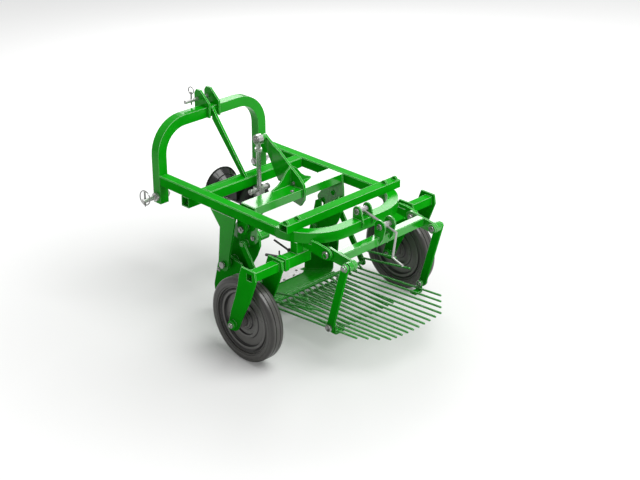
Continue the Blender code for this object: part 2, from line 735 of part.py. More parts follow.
def rocker():
    """The cross channel with its end plates, lever, gussets and pins."""
    top = CHANNEL_TOP
    wall = CHANNEL_WALL
    channel = box((-CHANNEL_HALF, CHANNEL_REAR_Y, top - CHANNEL_DEPTH), (CHANNEL_HALF, CHANNEL_FRONT_Y, top))
    hollow = box((-CHANNEL_HALF - 0.01, CHANNEL_REAR_Y + wall, top - CHANNEL_DEPTH - 0.01),
                 (CHANNEL_HALF + 0.01, CHANNEL_FRONT_Y - wall, top - wall))
    cut(channel, hollow)
    lever_low = LEVER_X - LEVER_THICK / 2.0
    lever_high = LEVER_X + LEVER_THICK / 2.0
    tip = (ROD_Y, ROD_TOP_Z)
    outline = arc(tip, 0.017, 150.0, -50.0, 10)
    outline += [(-0.385, 0.630), (-0.398, top - 0.004), (-0.480, top - 0.004), (-0.489, 0.536)]
    outline += [(-0.545, 0.526), (-0.568, 0.560), (-0.573, 0.600), (-0.565, 0.636), (-0.533, 0.667),
                (-0.474, 0.706), (-0.409, 0.756), (-0.372, 0.775)]
    lever = slab([outline], lever_low, lever_high, "x")
    tip_pin = bar((ROD_X - 0.022, ROD_Y, ROD_TOP_Z), (lever_high + 0.006, ROD_Y, ROD_TOP_Z), 0.009, 16)
    spacer = bar((ROD_X + 0.0145, ROD_Y, ROD_TOP_Z), (lever_low + 0.0012, ROD_Y, ROD_TOP_Z), 0.0145, 20)
    pieces = [join(lever, join(tip_pin, spacer))]
    for side in (-1.0, 1.0):
        start = LEVER_X + side * (LEVER_THICK / 2.0 - 0.001)
        web = [(start, top - 0.002), (start + side * 0.118, top - 0.002), (start + side * 0.118, top + 0.004),
               (start + side * 0.082, top + 0.018), (start + side * 0.054, top + 0.040),
               (start + side * 0.028, top + 0.072), (start, top + 0.090)]
        pieces.append(slab([web[::int(side)]], CHANNEL_FRONT_Y - 0.014, CHANNEL_FRONT_Y - 0.006, "y"))
    for side in (-1.0, 1.0):
        low, high = span(side, CHANNEL_HALF - END_PLATE / 2.0, CHANNEL_HALF + END_PLATE / 2.0)
        plate_outline = [(CHANNEL_FRONT_Y, top - 0.002), (CHANNEL_REAR_Y, top - 0.002)]
        plate_outline += [(CHANNEL_REAR_Y - 0.010, 0.540)]
        plate_outline += arc((DRIVE_PIN_Y - 0.002, DRIVE_PIN_Z), 0.026, 160.0, 260.0, 6)
        plate_outline += arc((HANG_PIN_Y, HANG_PIN_Z), 0.022, 240.0, 300.0, 6)
        plate_outline += arc((LOBE_Y, LOBE_Z), 0.020, 250.0, 400.0, 8)
        plate_outline += [(CHANNEL_FRONT_Y + 0.020, 0.525)]
        pieces.append(slab([plate_outline], low, high, "x"))
    join(channel, *pieces)
    for side in (-1.0, 1.0):
        inner = side * (CHANNEL_HALF - END_PLATE / 2.0 + 0.001)
        outer = side * (CHANNEL_HALF + END_PLATE / 2.0 - 0.001)
        drive_pin = bar((outer, DRIVE_PIN_Y, DRIVE_PIN_Z),
                        (side * (CARRIER_INNER - 0.008), DRIVE_PIN_Y, DRIVE_PIN_Z), DRIVE_PIN_RADIUS)
        hang_pin = bar((inner, HANG_PIN_Y, HANG_PIN_Z),
                       (side * (HANGER_INNER + HANGER_THICK + 0.003), HANG_PIN_Y, HANG_PIN_Z), HANG_PIN_RADIUS)
        boss = bar((side * (CARRIER_INNER - SIDE_PLAY), DRIVE_PIN_Y, DRIVE_PIN_Z),
                   (side * (CARRIER_INNER - SIDE_PLAY - 0.050), DRIVE_PIN_Y, DRIVE_PIN_Z), 0.023, 24)
        collar = bar((outer, HANG_PIN_Y, HANG_PIN_Z), (side * (HANGER_INNER - 0.001), HANG_PIN_Y, HANG_PIN_Z), 0.015)
        join(channel, drive_pin, hang_pin, boss, collar)
        bore = bar((side * (CHANNEL_HALF - 0.02), ROCKER_Y, ROCKER_Z),
                   (side * (CHANNEL_HALF + 0.02), ROCKER_Y, ROCKER_Z), ROCKER_PIN_RADIUS + PIN_PLAY)
        cut(channel, bore)
    return finish(channel, "rocker", GREEN, origin=(0.0, ROCKER_Y, ROCKER_Z))


# Share, chute and front sieve

def share_carrier(name, side):
    """The share's side plate and the forked arm that joins it to the rocker, on the leg's pin."""
    arm = arc((DRIVE_PIN_Y + 0.008, DRIVE_PIN_Z + 0.004), 0.034, 110.0, 190.0, 6)
    arm += [(-0.572, 0.425), (-0.548, 0.370), (-0.512, 0.310), (-0.480, 0.215), (-0.430, 0.200),
            (-0.372, 0.262), (-0.368, 0.300), (-0.400, 0.436), (-0.428, 0.452), (-0.434, 0.442),
            (-0.437, 0.385), (-0.476, 0.394), (-0.500, 0.452)]
    half = DRIVE_PIN_RADIUS + 0.0015
    slot = arc((DRIVE_PIN_Y, DRIVE_PIN_Z + 0.011), half, 0.0, 180.0, 8)
    slot += arc((DRIVE_PIN_Y, DRIVE_PIN_Z - 0.011), half, 180.0, 360.0, 8)
    low, high = span(side, CARRIER_INNER, CARRIER_INNER + PLATE)
    carrier = slab([arm, slot], low, high, "x")
    plate = [(-0.345, 0.318), (-0.322, 0.262), (-0.295, 0.154), (-0.297, 0.128), (-0.312, 0.090),
             (-0.305, 0.036), (-0.398, 0.036), (-0.450, 0.085), (-0.505, 0.160), (-0.512, 0.240),
             (-0.502, 0.290), (-0.484, 0.322), (-0.424, 0.330), (-0.400, 0.338), (-0.370, 0.334)]
    low, high = span(side, SIDE_PLATE_INNER, SIDE_PLATE_INNER + PLATE)
    inner = side * (CARRIER_INNER + 0.001)
    outer = side * (SIDE_PLATE_INNER + PLATE - 0.001)
    boss = bar((inner, CARRIER_Y, CARRIER_Z), (outer, CARRIER_Y, CARRIER_Z), 0.024, 24)
    spacer = bar((inner, CARRIER_Y - 0.055, CARRIER_Z - 0.060), (outer, CARRIER_Y - 0.055, CARRIER_Z - 0.060), 0.014)
    join(carrier, slab([plate], low, high, "x"), boss, spacer)
    bore = bar((side * (CARRIER_INNER - 0.01), CARRIER_Y, CARRIER_Z),
               (side * (SIDE_PLATE_INNER + 0.03), CARRIER_Y, CARRIER_Z), CARRIER_PIN_RADIUS + PIN_PLAY)
    cut(carrier, bore)
    return finish(carrier, "share_carrier_" + name, GREEN, origin=(side * CARRIER_INNER, CARRIER_Y, CARRIER_Z))


def tilt_to_share(item):
    """Lift a flat piece to the slope of the share's underside."""
    tip = GROUND_Z + 0.001
    rise = (SHARE_REAR_Z - SHARE_THICK - tip) / (SHARE_TIP_Y - SHARE_REAR_Y)
    for vertex in item.data.vertices:
        vertex.co.z += tip + rise * (SHARE_TIP_Y - vertex.co.y)


def share_beam():
    reach = SIDE_PLATE_INNER - GAP
    beam = box((-reach, -0.375, -0.012 - GAP), (reach, -0.315, -GAP))
    tilt_to_share(beam)
    return finish(beam, "share_beam", GREEN, origin=(0.0, CARRIER_Y, CARRIER_Z))


def share():
    """The blade: a pointed plate that slopes down to its cutting edge."""
    outline = [(-SHARE_HALF, SHARE_REAR_Y), (SHARE_HALF, SHARE_REAR_Y),
               (SHARE_HALF + 0.020, SHARE_TIP_Y - 0.060), (0.0, SHARE_TIP_Y),
               (-SHARE_HALF - 0.020, SHARE_TIP_Y - 0.060)]
    blade = slab([outline[::-1]], 0.0, SHARE_THICK, "z")
    tilt_to_share(blade)
    return finish(blade, "share", POLISHED, origin=(0.0, CARRIER_Y, CARRIER_Z))


def chute():
    """The trough behind the share: a sloping floor with upright sides."""
    steps = 5
    bend = 0.030
    wall = CHUTE_WALL
    inside = [(-CHUTE_HALF + wall, CHUTE_SIDE)]
    inside += arc((-CHUTE_HALF + wall + bend, wall + bend), bend, 180.0, 270.0, steps)
    inside += arc((CHUTE_HALF - wall - bend, wall + bend), bend, 270.0, 360.0, steps)
    inside += [(CHUTE_HALF - wall, CHUTE_SIDE)]
    outside = [(CHUTE_HALF, CHUTE_SIDE)]
    outside += arc((CHUTE_HALF - wall - bend, wall + bend), bend + wall, 360.0, 270.0, steps)
    outside += arc((-CHUTE_HALF + wall + bend, wall + bend), bend + wall, 270.0, 180.0, steps)
    outside += [(-CHUTE_HALF, CHUTE_SIDE)]
    front = SHARE_REAR_Y - GAP
    trough = slab([inside + outside], CHUTE_REAR_Y, front, "y")
    rise = (CHUTE_REAR_Z - SHARE_REAR_Z) / (SHARE_REAR_Y - CHUTE_REAR_Y)
    for vertex in trough.data.vertices:
        vertex.co.z += SHARE_REAR_Z - wall - 0.004 + rise * (front - vertex.co.y)
    cut(trough, box((-0.5, -0.9, CHUTE_TOP), (0.5, 0.0, 0.5)))
    return finish(trough, "chute", GREEN, origin=(0.0, CARRIER_Y, CARRIER_Z))


def tine_places(count, pitch):
    return [(i - (count - 1) / 2.0) * pitch for i in range(count)]


def front_sieve():
    """Straight tines that run back from the chute's rear edge."""
    base = CHUTE_REAR_Z - CHUTE_WALL - 0.004
    y = CHUTE_REAR_Y - GAP
    carrier = box((-CHUTE_HALF, y - 0.012, base - 0.016), (CHUTE_HALF, y, base + 0.006))
    tines = []
    for x in tine_places(FRONT_TINES, FRONT_PITCH):
        tines.append(bar((x, y - 0.006, base), (x, FRONT_SIEVE_END_Y, base - 0.006), TINE_RADIUS, 8))
    join(carrier, *tines)
    return finish(carrier, "front_sieve", GREEN, origin=(0.0, CARRIER_Y, CARRIER_Z))


# Rear sieve

def rear_sieve():
    """Tines that hang from a front bar on short struts, the outer ones higher and shorter."""
    half = HANGER_INNER - GAP
    sieve = bar((-half, SIEVE_BAR_Y, SIEVE_BAR_Z), (half, SIEVE_BAR_Y, SIEVE_BAR_Z), SIEVE_BAR_RADIUS, 12)
    centre = (REAR_TINES - 1) / 2.0
    places = tine_places(REAR_TINES, REAR_PITCH)
    outermost = places[-1]
    for i, x in enumerate(places):
        rank = abs(i - centre)
        end_y = SIEVE_END_Y + 0.032 * max(rank - 4.5, 0.0)
        lift = SIDE_RISE * (x / outermost) ** 2
        foot_z = SIEVE_KINK_Z + 0.25 * lift
        fall = (foot_z - SIEVE_END_Z - lift) / (SIEVE_KINK_Y - SIEVE_END_Y)
        front = (x, SIEVE_KINK_Y + 0.030, foot_z + 0.030 * fall)
        end = (x, end_y, foot_z + (end_y - SIEVE_KINK_Y) * fall)
        tine = bar(front, end, TINE_RADIUS, 8)
        strut = bar((x, SIEVE_BAR_Y, SIEVE_BAR_Z), (x, SIEVE_KINK_Y, foot_z), TINE_RADIUS - 0.0004, 8)
        join(sieve, join(tine, strut))
    for side in (-1.0, 1.0):
        under = 2.0
        for place in (-1, -2):
            x = side * places[place]
            lift = SIDE_RISE * (x / outermost) ** 2
            foot_z = SIEVE_KINK_Z + 0.25 * lift
            fall = (foot_z - SIEVE_END_Z - lift) / (SIEVE_KINK_Y - SIEVE_END_Y)
            under = min(under, foot_z + (LINK_FOOT_Y - SIEVE_KINK_Y) * fall)
        low, high = span(side, places[-2] - 0.004, places[-1] + 0.004)
        shoe = box((low, LINK_FOOT_Y - 0.016, under - 0.011), (high, LINK_FOOT_Y + 0.016, under - 0.002))
        low, high = span(side, outermost + 0.0005, outermost + 0.0085)
        web = [(LINK_FOOT_Y - 0.015, under - 0.010), (LINK_FOOT_Y + 0.015, under - 0.010)]
        web += arc((LINK_FOOT_Y, LINK_FOOT_Z), 0.015, 0.0, 180.0, 8)
        pin = bar((side * (outermost + 0.0015), LINK_FOOT_Y, LINK_FOOT_Z),
                  (side * (LINK_INNER + PLATE + 0.004), LINK_FOOT_Y, LINK_FOOT_Z), LINK_PIN_RADIUS)
        join(sieve, join(shoe, slab([web], low, high, "x"), pin))
    return finish(sieve, "rear_sieve", GREEN, origin=(0.0, HANG_PIN_Y, HANG_PIN_Z))


def sieve_hanger(name, side):
    """The strut from the rocker's pin down to the rear sieve's front bar, with two guard tines."""
    low, high = span(side, HANGER_INNER, HANGER_INNER + HANGER_THICK)
    outline = strip((HANG_PIN_Y, HANG_PIN_Z), (SIEVE_BAR_Y, SIEVE_BAR_Z), 0.034)
    hole = circle((HANG_PIN_Y, HANG_PIN_Z), HANG_PIN_RADIUS + PIN_PLAY)
    hanger = slab([outline, hole], low, high, "x")
    middle = side * (HANGER_INNER + HANGER_THICK / 2.0)
    lean = side * 0.020
    slope = (HANG_PIN_Y - SIEVE_BAR_Y) / (HANG_PIN_Z - SIEVE_BAR_Z)
    for low_z, rear_y, rear_z in GUARD_TINES:
        start = (middle, SIEVE_BAR_Y + (low_z - SIEVE_BAR_Z) * slope, low_z)
        join(hanger, rod([start, (middle - lean, rear_y, rear_z)], TINE_RADIUS, 1))
    return finish(hanger, "sieve_hanger_" + name, GREEN, origin=(side * HANGER_INNER, HANG_PIN_Y, HANG_PIN_Z))


def rear_link(name, side):
    low, high = span(side, LINK_INNER, LINK_INNER + PLATE)
    outline = strip((LINK_FOOT_Y, LINK_FOOT_Z), (LINK_HEAD_Y, LINK_HEAD_Z), LINK_WIDTH)
    hole = circle((LINK_FOOT_Y, LINK_FOOT_Z), LINK_PIN_RADIUS + PIN_PLAY)
    link = slab([outline, hole], low, high, "x")
    bolt = bar((side * (LINK_INNER + PLATE - 0.001), LINK_HEAD_Y, LINK_HEAD_Z),
               (side * (LINK_INNER + PLATE + 0.010), LINK_HEAD_Y, LINK_HEAD_Z), 0.014, 6)
    join(link, bolt)
    return finish(link, "rear_link_" + name, GREEN, origin=(side * LINK_INNER, LINK_FOOT_Y, LINK_FOOT_Z))


# Arm frame and adjusting screw

def sieve_arm(name, side):
    """The arm from the bow's bracket back to the boss over a link."""
    low, high = span(side, ARM_INNER, ARM_INNER + PLATE)
    heading = math.degrees(math.atan2(LINK_HEAD_Z - ARM_PIVOT_Z, LINK_HEAD_Y - ARM_PIVOT_Y))
    outline = arc((LINK_HEAD_Y, LINK_HEAD_Z), 0.024, heading - 90.0, heading + 90.0, 8)
    outline += arc((ARM_PIVOT_Y, ARM_PIVOT_Z), 0.029, heading + 90.0, heading + 270.0, 10)
    hole = circle((ARM_PIVOT_Y, ARM_PIVOT_Z), ARM_PIN_RADIUS + PIN_PLAY)
    arm = slab([outline, hole], low, high, "x")
    boss = bar((side * (ARM_INNER - 0.010), LINK_HEAD_Y, LINK_HEAD_Z),
               (side * (LINK_INNER - SIDE_PLAY), LINK_HEAD_Y, LINK_HEAD_Z), 0.022, 24)
    join(arm, boss)
    return finish(arm, "sieve_arm_" + name, GREEN, origin=(side * ARM_INNER, ARM_PIVOT_Y, ARM_PIVOT_Z))


def sieve_cross_tube():
    """The tube between the arms, with the adjusting screw's lower ears."""
    half = CROSS_TUBE / 2.0
    reach = ARM_INNER - GAP
    tube = box((-reach, CROSS_TUBE_Y - half, CROSS_TUBE_Z - half), (reach, CROSS_TUBE_Y + half, CROSS_TUBE_Z + half))
    soften(tube, 0.003)
    bake(tube)
    for side in (-1.0, 1.0):
        low, high = span(side, SCREW_EAR_INNER, SCREW_EAR_INNER + SCREW_EAR_THICK)
        outline = arc((SCREW_LOWER_Y, SCREW_LOWER_Z), 0.032, 20.0, 185.0, 12)
        outline += [(CROSS_TUBE_Y - half - 0.018, CROSS_TUBE_Z + 0.014), (CROSS_TUBE_Y - 0.004, CROSS_TUBE_Z - half - 0.012),
                    (CROSS_TUBE_Y + 0.011, CROSS_TUBE_Z - half - 0.002), (CROSS_TUBE_Y + 0.011, SCREW_LOWER_Z - 0.010)]
        join(tube, slab([outline], low, high, "x"))
    return finish(tube, "sieve_cross_tube", GREEN, origin=(0.0, ARM_PIVOT_Y, ARM_PIVOT_Z))


def adjusting_screw():
    """The spindle with its two cross nuts and its crank."""
    along = Vector((0.0, SCREW_LOWER_Y - SCREW_UPPER_Y, SCREW_LOWER_Z - SCREW_UPPER_Z)).normalized()
    upper = Vector((0.0, SCREW_UPPER_Y, SCREW_UPPER_Z))
    lower = Vector((0.0, SCREW_LOWER_Y, SCREW_LOWER_Z))
    nose = upper - along * 0.020
    corner = lower + along * 0.068
    route = [nose, corner, (0.0, -1.136, 0.475), (0.0, -1.195, 0.454)]
    screw = rod(route, SCREW_RADIUS, 2)
    half = SCREW_EAR_INNER - SIDE_PLAY
    upper_nut = bar((-half, upper.y, upper.z), (half, upper.y, upper.z), 0.013, 16)
    low_half = SCREW_EAR_INNER - GAP
    lower_nut = bar((-low_half, lower.y, lower.z), (low_half, lower.y, lower.z), 0.013, 16)
    join(screw, upper_nut, lower_nut)
    return finish(screw, "adjusting_screw", STEEL, origin=(0.0, ARM_PIVOT_Y, ARM_PIVOT_Z), smooth=40)


# Wheels

def fork_outline():
    """The fork plate from the stub down and forward to the axle."""
    outline = [(-0.877, 0.514), (-0.885, 0.470), (-0.860, 0.404), (-0.838, 0.350), (-0.798, 0.275)]
    outline += arc((WHEEL_Y, WHEEL_Z), 0.031, 200.0, 375.0, 10)
    outline += [(-0.727, 0.290), (-0.750, 0.353), (-0.770, 0.420), (-0.780, 0.470), (-0.796, 0.514)]
    return outline


def wheel_fork(name, side):
    """Two plates on a square stub, holding the axle between them."""
    hole = circle((WHEEL_Y, WHEEL_Z), AXLE_RADIUS + GAP)
    half = STUB_SIZE / 2.0
    low, high = span(side, STUB_IN, FORK_OUTER_X + FORK_THICK / 2.0)
    stub = box((low, SLEEVE_Y - half, SLEEVE_Z - half), (high, SLEEVE_Y + half, SLEEVE_Z + half))
    for middle in (FORK_INNER_X, FORK_OUTER_X):
        low, high = span(side, middle - FORK_THICK / 2.0, middle + FORK_THICK / 2.0)
        join(stub, slab([fork_outline(), hole], low, high, "x"))
    pocket = box((min(side * 0.50, side * 0.60), SLEEVE_Y - half + 0.004, SLEEVE_Z - half + 0.004),
                 (max(side * 0.50, side * 0.60), SLEEVE_Y + half - 0.004, SLEEVE_Z + half - 0.004))
    cut(stub, pocket)
    return finish(stub, "wheel_fork_" + name, GREEN)


def wheel_axle(name, side):
    reach = FORK_THICK / 2.0
    axle = bar((side * (FORK_INNER_X - reach - 0.012), WHEEL_Y, WHEEL_Z),
               (side * (FORK_OUTER_X + reach + 0.016), WHEEL_Y, WHEEL_Z), AXLE_RADIUS, 20)
    head = bar((side * (FORK_INNER_X - reach - GAP), WHEEL_Y, WHEEL_Z),
               (side * (FORK_INNER_X - reach - 0.010), WHEEL_Y, WHEEL_Z), 0.020, 6)
    nut = bar((side * (FORK_OUTER_X + reach + GAP), WHEEL_Y, WHEEL_Z),
              (side * (FORK_OUTER_X + reach + 0.012), WHEEL_Y, WHEEL_Z), 0.020, 6)
    join(axle, head, nut)
    return finish(axle, "wheel_axle_" + name, STEEL, smooth=40)


def tyre(name, side):
    half = TYRE_WIDTH / 2.0
    profile = [
        (-half * 0.72, RIM_RADIUS), (half * 0.72, RIM_RADIUS),
        (half * 0.95, RIM_RADIUS + 0.014), (half, WHEEL_RADIUS - 0.024),
        (half * 0.86, WHEEL_RADIUS - 0.008), (half * 0.55, WHEEL_RADIUS - 0.001),
        (half * 0.16, WHEEL_RADIUS), (half * 0.08, WHEEL_RADIUS - 0.005),
        (-half * 0.08, WHEEL_RADIUS - 0.005), (-half * 0.16, WHEEL_RADIUS),
        (-half * 0.55, WHEEL_RADIUS - 0.001), (-half * 0.86, WHEEL_RADIUS - 0.008),
        (-half, WHEEL_RADIUS - 0.024), (-half * 0.95, RIM_RADIUS + 0.014),
    ]
    centre = (side * WHEEL_X, WHEEL_Y, WHEEL_Z)
    ring = turned(profile, centre, (1.0, 0.0, 0.0), 48)
    return finish(ring, "tyre_" + name, RUBBER, origin=centre, smooth=40)


def wheel_disc(name, side):
    """The dished disc with raised rings and a long hub."""
    rim = RIM_RADIUS - GAP
    outer_face = [
        (0.027, rim), (0.027, rim * 0.955), (0.020, rim * 0.930), (0.024, rim * 0.900), (0.024, rim * 0.820),
        (0.010, rim * 0.790), (0.013, rim * 0.580), (0.018, rim * 0.550), (0.018, rim * 0.470),
        (0.008, rim * 0.440), (0.008, rim * 0.310), (0.018, rim * 0.270), (HUB_HALF, rim * 0.180),
    ]
    bore = AXLE_RADIUS + PIN_PLAY
    profile = list(outer_face) + [(HUB_HALF, bore), (-HUB_HALF, bore)]
    profile += [(-along, radius) for along, radius in reversed(outer_face)]
    centre = (side * WHEEL_X, WHEEL_Y, WHEEL_Z)
    disc = turned(profile, centre, (1.0, 0.0, 0.0), 48)
    return finish(disc, "wheel_disc_" + name, DISC_GREY, origin=centre, smooth=30)


def build():
    hitch_arch()
    top_hitch_pin()
    mast_brace()
    front_cross_beam()
    bearing_beam()
    drive_bearing()
    drive_guard()
    rear_beam()
    bow_tube()
    drive_shaft()
    crank_disc()
    connecting_rod()
    rocker()
    share_beam()
    share()
    chute()
    front_sieve()
    rear_sieve()
    sieve_cross_tube()
    adjusting_screw()
    paired = (
        lower_hitch_pin, top_hitch_ear, side_beam, wheel_post, clamp_screw, share_leg, rocker_bracket,
        sieve_bracket, share_carrier, sieve_hanger, rear_link, sieve_arm, wheel_fork, wheel_axle,
        tyre, wheel_disc,
    )
    for make in paired:
        for name, side in SIDES:
            make(name, side)
    for item in PARTS.objects:
        item.location.y -= MIDDLE_Y
        item.location.z -= GROUND_Z


build()
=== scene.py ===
"""A potato harvester for a small tractor: painted frame, shaken sieves, share, two wheels."""

import json
import math

import bmesh
import bpy
from mathutils import Matrix, Vector


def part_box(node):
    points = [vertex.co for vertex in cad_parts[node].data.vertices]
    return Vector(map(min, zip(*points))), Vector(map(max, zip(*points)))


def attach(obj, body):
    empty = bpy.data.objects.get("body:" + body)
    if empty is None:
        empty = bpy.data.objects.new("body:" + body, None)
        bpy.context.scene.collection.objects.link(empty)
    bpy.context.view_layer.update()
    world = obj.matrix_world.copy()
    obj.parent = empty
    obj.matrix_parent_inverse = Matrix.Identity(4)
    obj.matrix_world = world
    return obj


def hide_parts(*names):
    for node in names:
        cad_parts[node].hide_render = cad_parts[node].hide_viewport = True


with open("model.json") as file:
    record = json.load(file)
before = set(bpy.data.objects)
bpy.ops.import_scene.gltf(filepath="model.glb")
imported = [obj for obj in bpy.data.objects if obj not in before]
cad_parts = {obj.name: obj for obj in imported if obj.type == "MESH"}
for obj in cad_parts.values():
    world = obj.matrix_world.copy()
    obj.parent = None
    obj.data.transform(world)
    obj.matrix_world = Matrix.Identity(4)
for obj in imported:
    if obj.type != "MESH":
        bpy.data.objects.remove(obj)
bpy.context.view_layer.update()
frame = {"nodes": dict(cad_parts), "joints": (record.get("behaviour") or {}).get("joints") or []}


# Shared effects, as shader node groups

def new_group(name, inputs, outputs):
    """A node group with float inputs (name, default) and outputs (name, socket type)."""
    group = bpy.data.node_groups.new(name, "ShaderNodeTree")
    for label, value in inputs:
        socket = group.interface.new_socket(name=label, in_out="INPUT", socket_type="NodeSocketFloat")
        socket.default_value = value
    for label, kind in outputs:
        group.interface.new_socket(name=label, in_out="OUTPUT", socket_type=kind)
    return group, group.nodes.new("NodeGroupInput"), group.nodes.new("NodeGroupOutput")


def feed(tree, socket, value):
    """Give a socket a plain number, or link it to the output that is handed in."""
    if isinstance(value, (int, float)):
        socket.default_value = value
    else:
        tree.links.new(value, socket)


def maths(tree, operation, first, second=None, clamp=False):
    node = tree.nodes.new("ShaderNodeMath")
    node.operation = operation
    node.use_clamp = clamp
    feed(tree, node.inputs[0], first)
    if second is not None:
        feed(tree, node.inputs[1], second)
    return node.outputs[0]


def inverse(tree, value):
    return maths(tree, "SUBTRACT", 1.0, value)


def noise(tree, vector, scale, detail=3.0, roughness=0.5):
    node = tree.nodes.new("ShaderNodeTexNoise")
    node.inputs["Detail"].default_value = detail
    node.inputs["Roughness"].default_value = roughness
    feed(tree, node.inputs["Scale"], scale)
    tree.links.new(vector, node.inputs["Vector"])
    return node.outputs["Fac"]


def object_place(tree):
    """The place on the object, which is the place in the frame."""
    return tree.nodes.new("ShaderNodeTexCoord").outputs["Object"]


def part_of(tree, vector, axis):
    """One of the three numbers of a vector: X, Y or Z."""
    node = tree.nodes.new("ShaderNodeSeparateXYZ")
    tree.links.new(vector, node.inputs["Vector"])
    return node.outputs[axis]


def spread(tree, value, low, high):
    """Stretch a value so that low becomes 0 and high becomes 1, with soft ends."""
    node = tree.nodes.new("ShaderNodeMapRange")
    node.interpolation_type = "SMOOTHSTEP"
    tree.links.new(value, node.inputs["Value"])
    node.inputs["From Min"].default_value = low
    node.inputs["From Max"].default_value = high
    return node.outputs["Result"]


def edge_group():
    """Where an edge is, as the mask of a painted edge highlight (on the screws also of worn crests): lit most
    where its rounding looks up, and broken up by noise.
    """
    group, given, result = new_group(
        "edge_highlight_and_wear",
        (("Radius", 0.002), ("Breakup", 60.0), ("Sharpness", 8.0)),
        (("Mask", "NodeSocketFloat"),))
    bevel = group.nodes.new("ShaderNodeBevel")
    bevel.samples = 4
    group.links.new(given.outputs["Radius"], bevel.inputs["Radius"])
    surface = group.nodes.new("ShaderNodeNewGeometry")
    turn = group.nodes.new("ShaderNodeVectorMath")
    turn.operation = "DOT_PRODUCT"
    group.links.new(bevel.outputs["Normal"], turn.inputs[0])
    group.links.new(surface.outputs["Normal"], turn.inputs[1])
    strong = maths(group, "MULTIPLY", inverse(group, turn.outputs["Value"]), given.outputs["Sharpness"], True)
    upward = spread(group, part_of(group, bevel.outputs["Normal"], "Z"), -0.30, 0.45)
    lit = maths(group, "MULTIPLY", strong, upward, True)
    grain = noise(group, object_place(group), given.outputs["Breakup"], 4.0, 0.6)
    mask = maths(group, "MULTIPLY", lit, spread(group, grain, 0.20, 0.42), True)
    group.links.new(mask, result.inputs["Mask"])
    return group


def dust_group():
    """Fine dust and soil, more towards the ground."""
    group, given, result = new_group(
        "soil_dust",
        (("Height", 0.35), ("Scale", 18.0), ("Amount", 0.5)),
        (("Mask", "NodeSocketFloat"),))
    place = object_place(group)
    rise = maths(group, "DIVIDE", part_of(group, place, "Z"), given.outputs["Height"])
    low = maths(group, "SUBTRACT", 1.0, rise, True)
    fine = spread(group, noise(group, place, given.outputs["Scale"], 6.0, 0.65), 0.38, 0.72)
    mask = maths(group, "MULTIPLY", maths(group, "MULTIPLY", low, fine), given.outputs["Amount"], True)
    group.links.new(mask, result.inputs["Mask"])
    return group


def skin_group():
    """The slight waviness of a sprayed or cast skin, and a slow cloud for its tone."""
    group, given, result = new_group(
        "skin",
        (("Scale", 220.0), ("Depth", 0.00005)),
        (("Normal", "NodeSocketVector"), ("Cloud", "NodeSocketFloat")))
    place = object_place(group)
    bump = group.nodes.new("ShaderNodeBump")
    bump.inputs["Strength"].default_value = 0.35
    group.links.new(given.outputs["Depth"], bump.inputs["Distance"])
    group.links.new(noise(group, place, given.outputs["Scale"], 2.0, 0.5), bump.inputs["Height"])
    group.links.new(bump.outputs["Normal"], result.inputs["Normal"])
    group.links.new(noise(group, place, 7.0, 4.0, 0.55), result.inputs["Cloud"])
    return group


# Mask of the painted edge highlight, also used for worn crests
EDGE_HIGHLIGHT_AND_WEAR = edge_group()
SOIL_DUST = dust_group()
SKIN = skin_group()


def use_group(tree, group, **values):
    node = tree.nodes.new("ShaderNodeGroup")
    node.node_tree = group
    for label, value in values.items():
        node.inputs[label.title()].default_value = value
    return node


# Finishes: colours are linear red, green and blue

GREEN_DEEP = (0.002, 0.330, 0.003)
GREEN_LIGHT = (0.004, 0.390, 0.005)
# A painted shade: the darker green low down on the frame
PAINTED_SHADE_GREEN = (0.002, 0.120, 0.003)
# A painted highlight: the near-white green on the rounded edges that face up
PAINTED_EDGE_HIGHLIGHT = (0.700, 0.960, 0.700)
PAINT_SOIL = (0.160, 0.130, 0.090)
RUBBER_SOIL = (0.120, 0.105, 0.085)
# Painted shade in the moulded steps of the tyres and discs
RUBBER_STEP_SHADE = (0.014, 0.014, 0.013)
DISC_STEP_SHADE = (0.010, 0.010, 0.010)
# Partly worn bare metal, partly a painted highlight on the screws' crests that face up
CREST_WEAR_AND_HIGHLIGHT = (0.300, 0.295, 0.285)


def mix_colour(tree, mask, first, second):
    node = tree.nodes.new("ShaderNodeMix")
    node.data_type = "RGBA"
    tree.links.new(mask, node.inputs["Factor"])
    for socket, value in ((node.inputs[6], first), (node.inputs[7], second)):
        if isinstance(value, tuple):
            socket.default_value = (*value, 1.0)
        else:
            tree.links.new(value, socket)
    return node.outputs[2]


def between(tree, mask, low, high):
    """A number that goes from low to high as the mask goes from 0 to 1."""
    node = tree.nodes.new("ShaderNodeMapRange")
    tree.links.new(mask, node.inputs["Value"])
    node.inputs["To Min"].default_value = low
    node.inputs["To Max"].default_value = high
    return node.outputs["Result"]


def new_material(name):
    material = bpy.data.materials.new(name)
    material.use_nodes = True
    tree = material.node_tree
    return material, tree, tree.nodes["Principled BSDF"]


def lay_over(material, mask, colour, strength=1.0):
    """Another colour over the one that the finish has so far, where the mask is lit."""
    tree = material.node_tree
    base = tree.nodes["Principled BSDF"].inputs["Base Color"]
    under = base.links[0].from_socket
    amount = maths(tree, "MULTIPLY", mask, strength)
    tree.links.new(mix_colour(tree, amount, under, colour), base)


def step_shade_mask(tree):
    """1 where a wheel's moulded face is steep, 0 where it is flat or level with the tread: the mask of the
    painted shade in the moulded steps.
    """
    facing = tree.nodes.new("ShaderNodeTexCoord").outputs["Normal"]
    flat = maths(tree, "ABSOLUTE", part_of(tree, facing, "X"))
    low = spread(tree, flat, 0.10, 0.30)
    high = inverse(tree, spread(tree, flat, 0.80, 0.98))
    return maths(tree, "MULTIPLY", low, high, True)


def height_mask(tree, low, high):
    """1 at the low height over the ground, 0 at the high one."""
    return inverse(tree, spread(tree, part_of(tree, object_place(tree), "Z"), low, high))


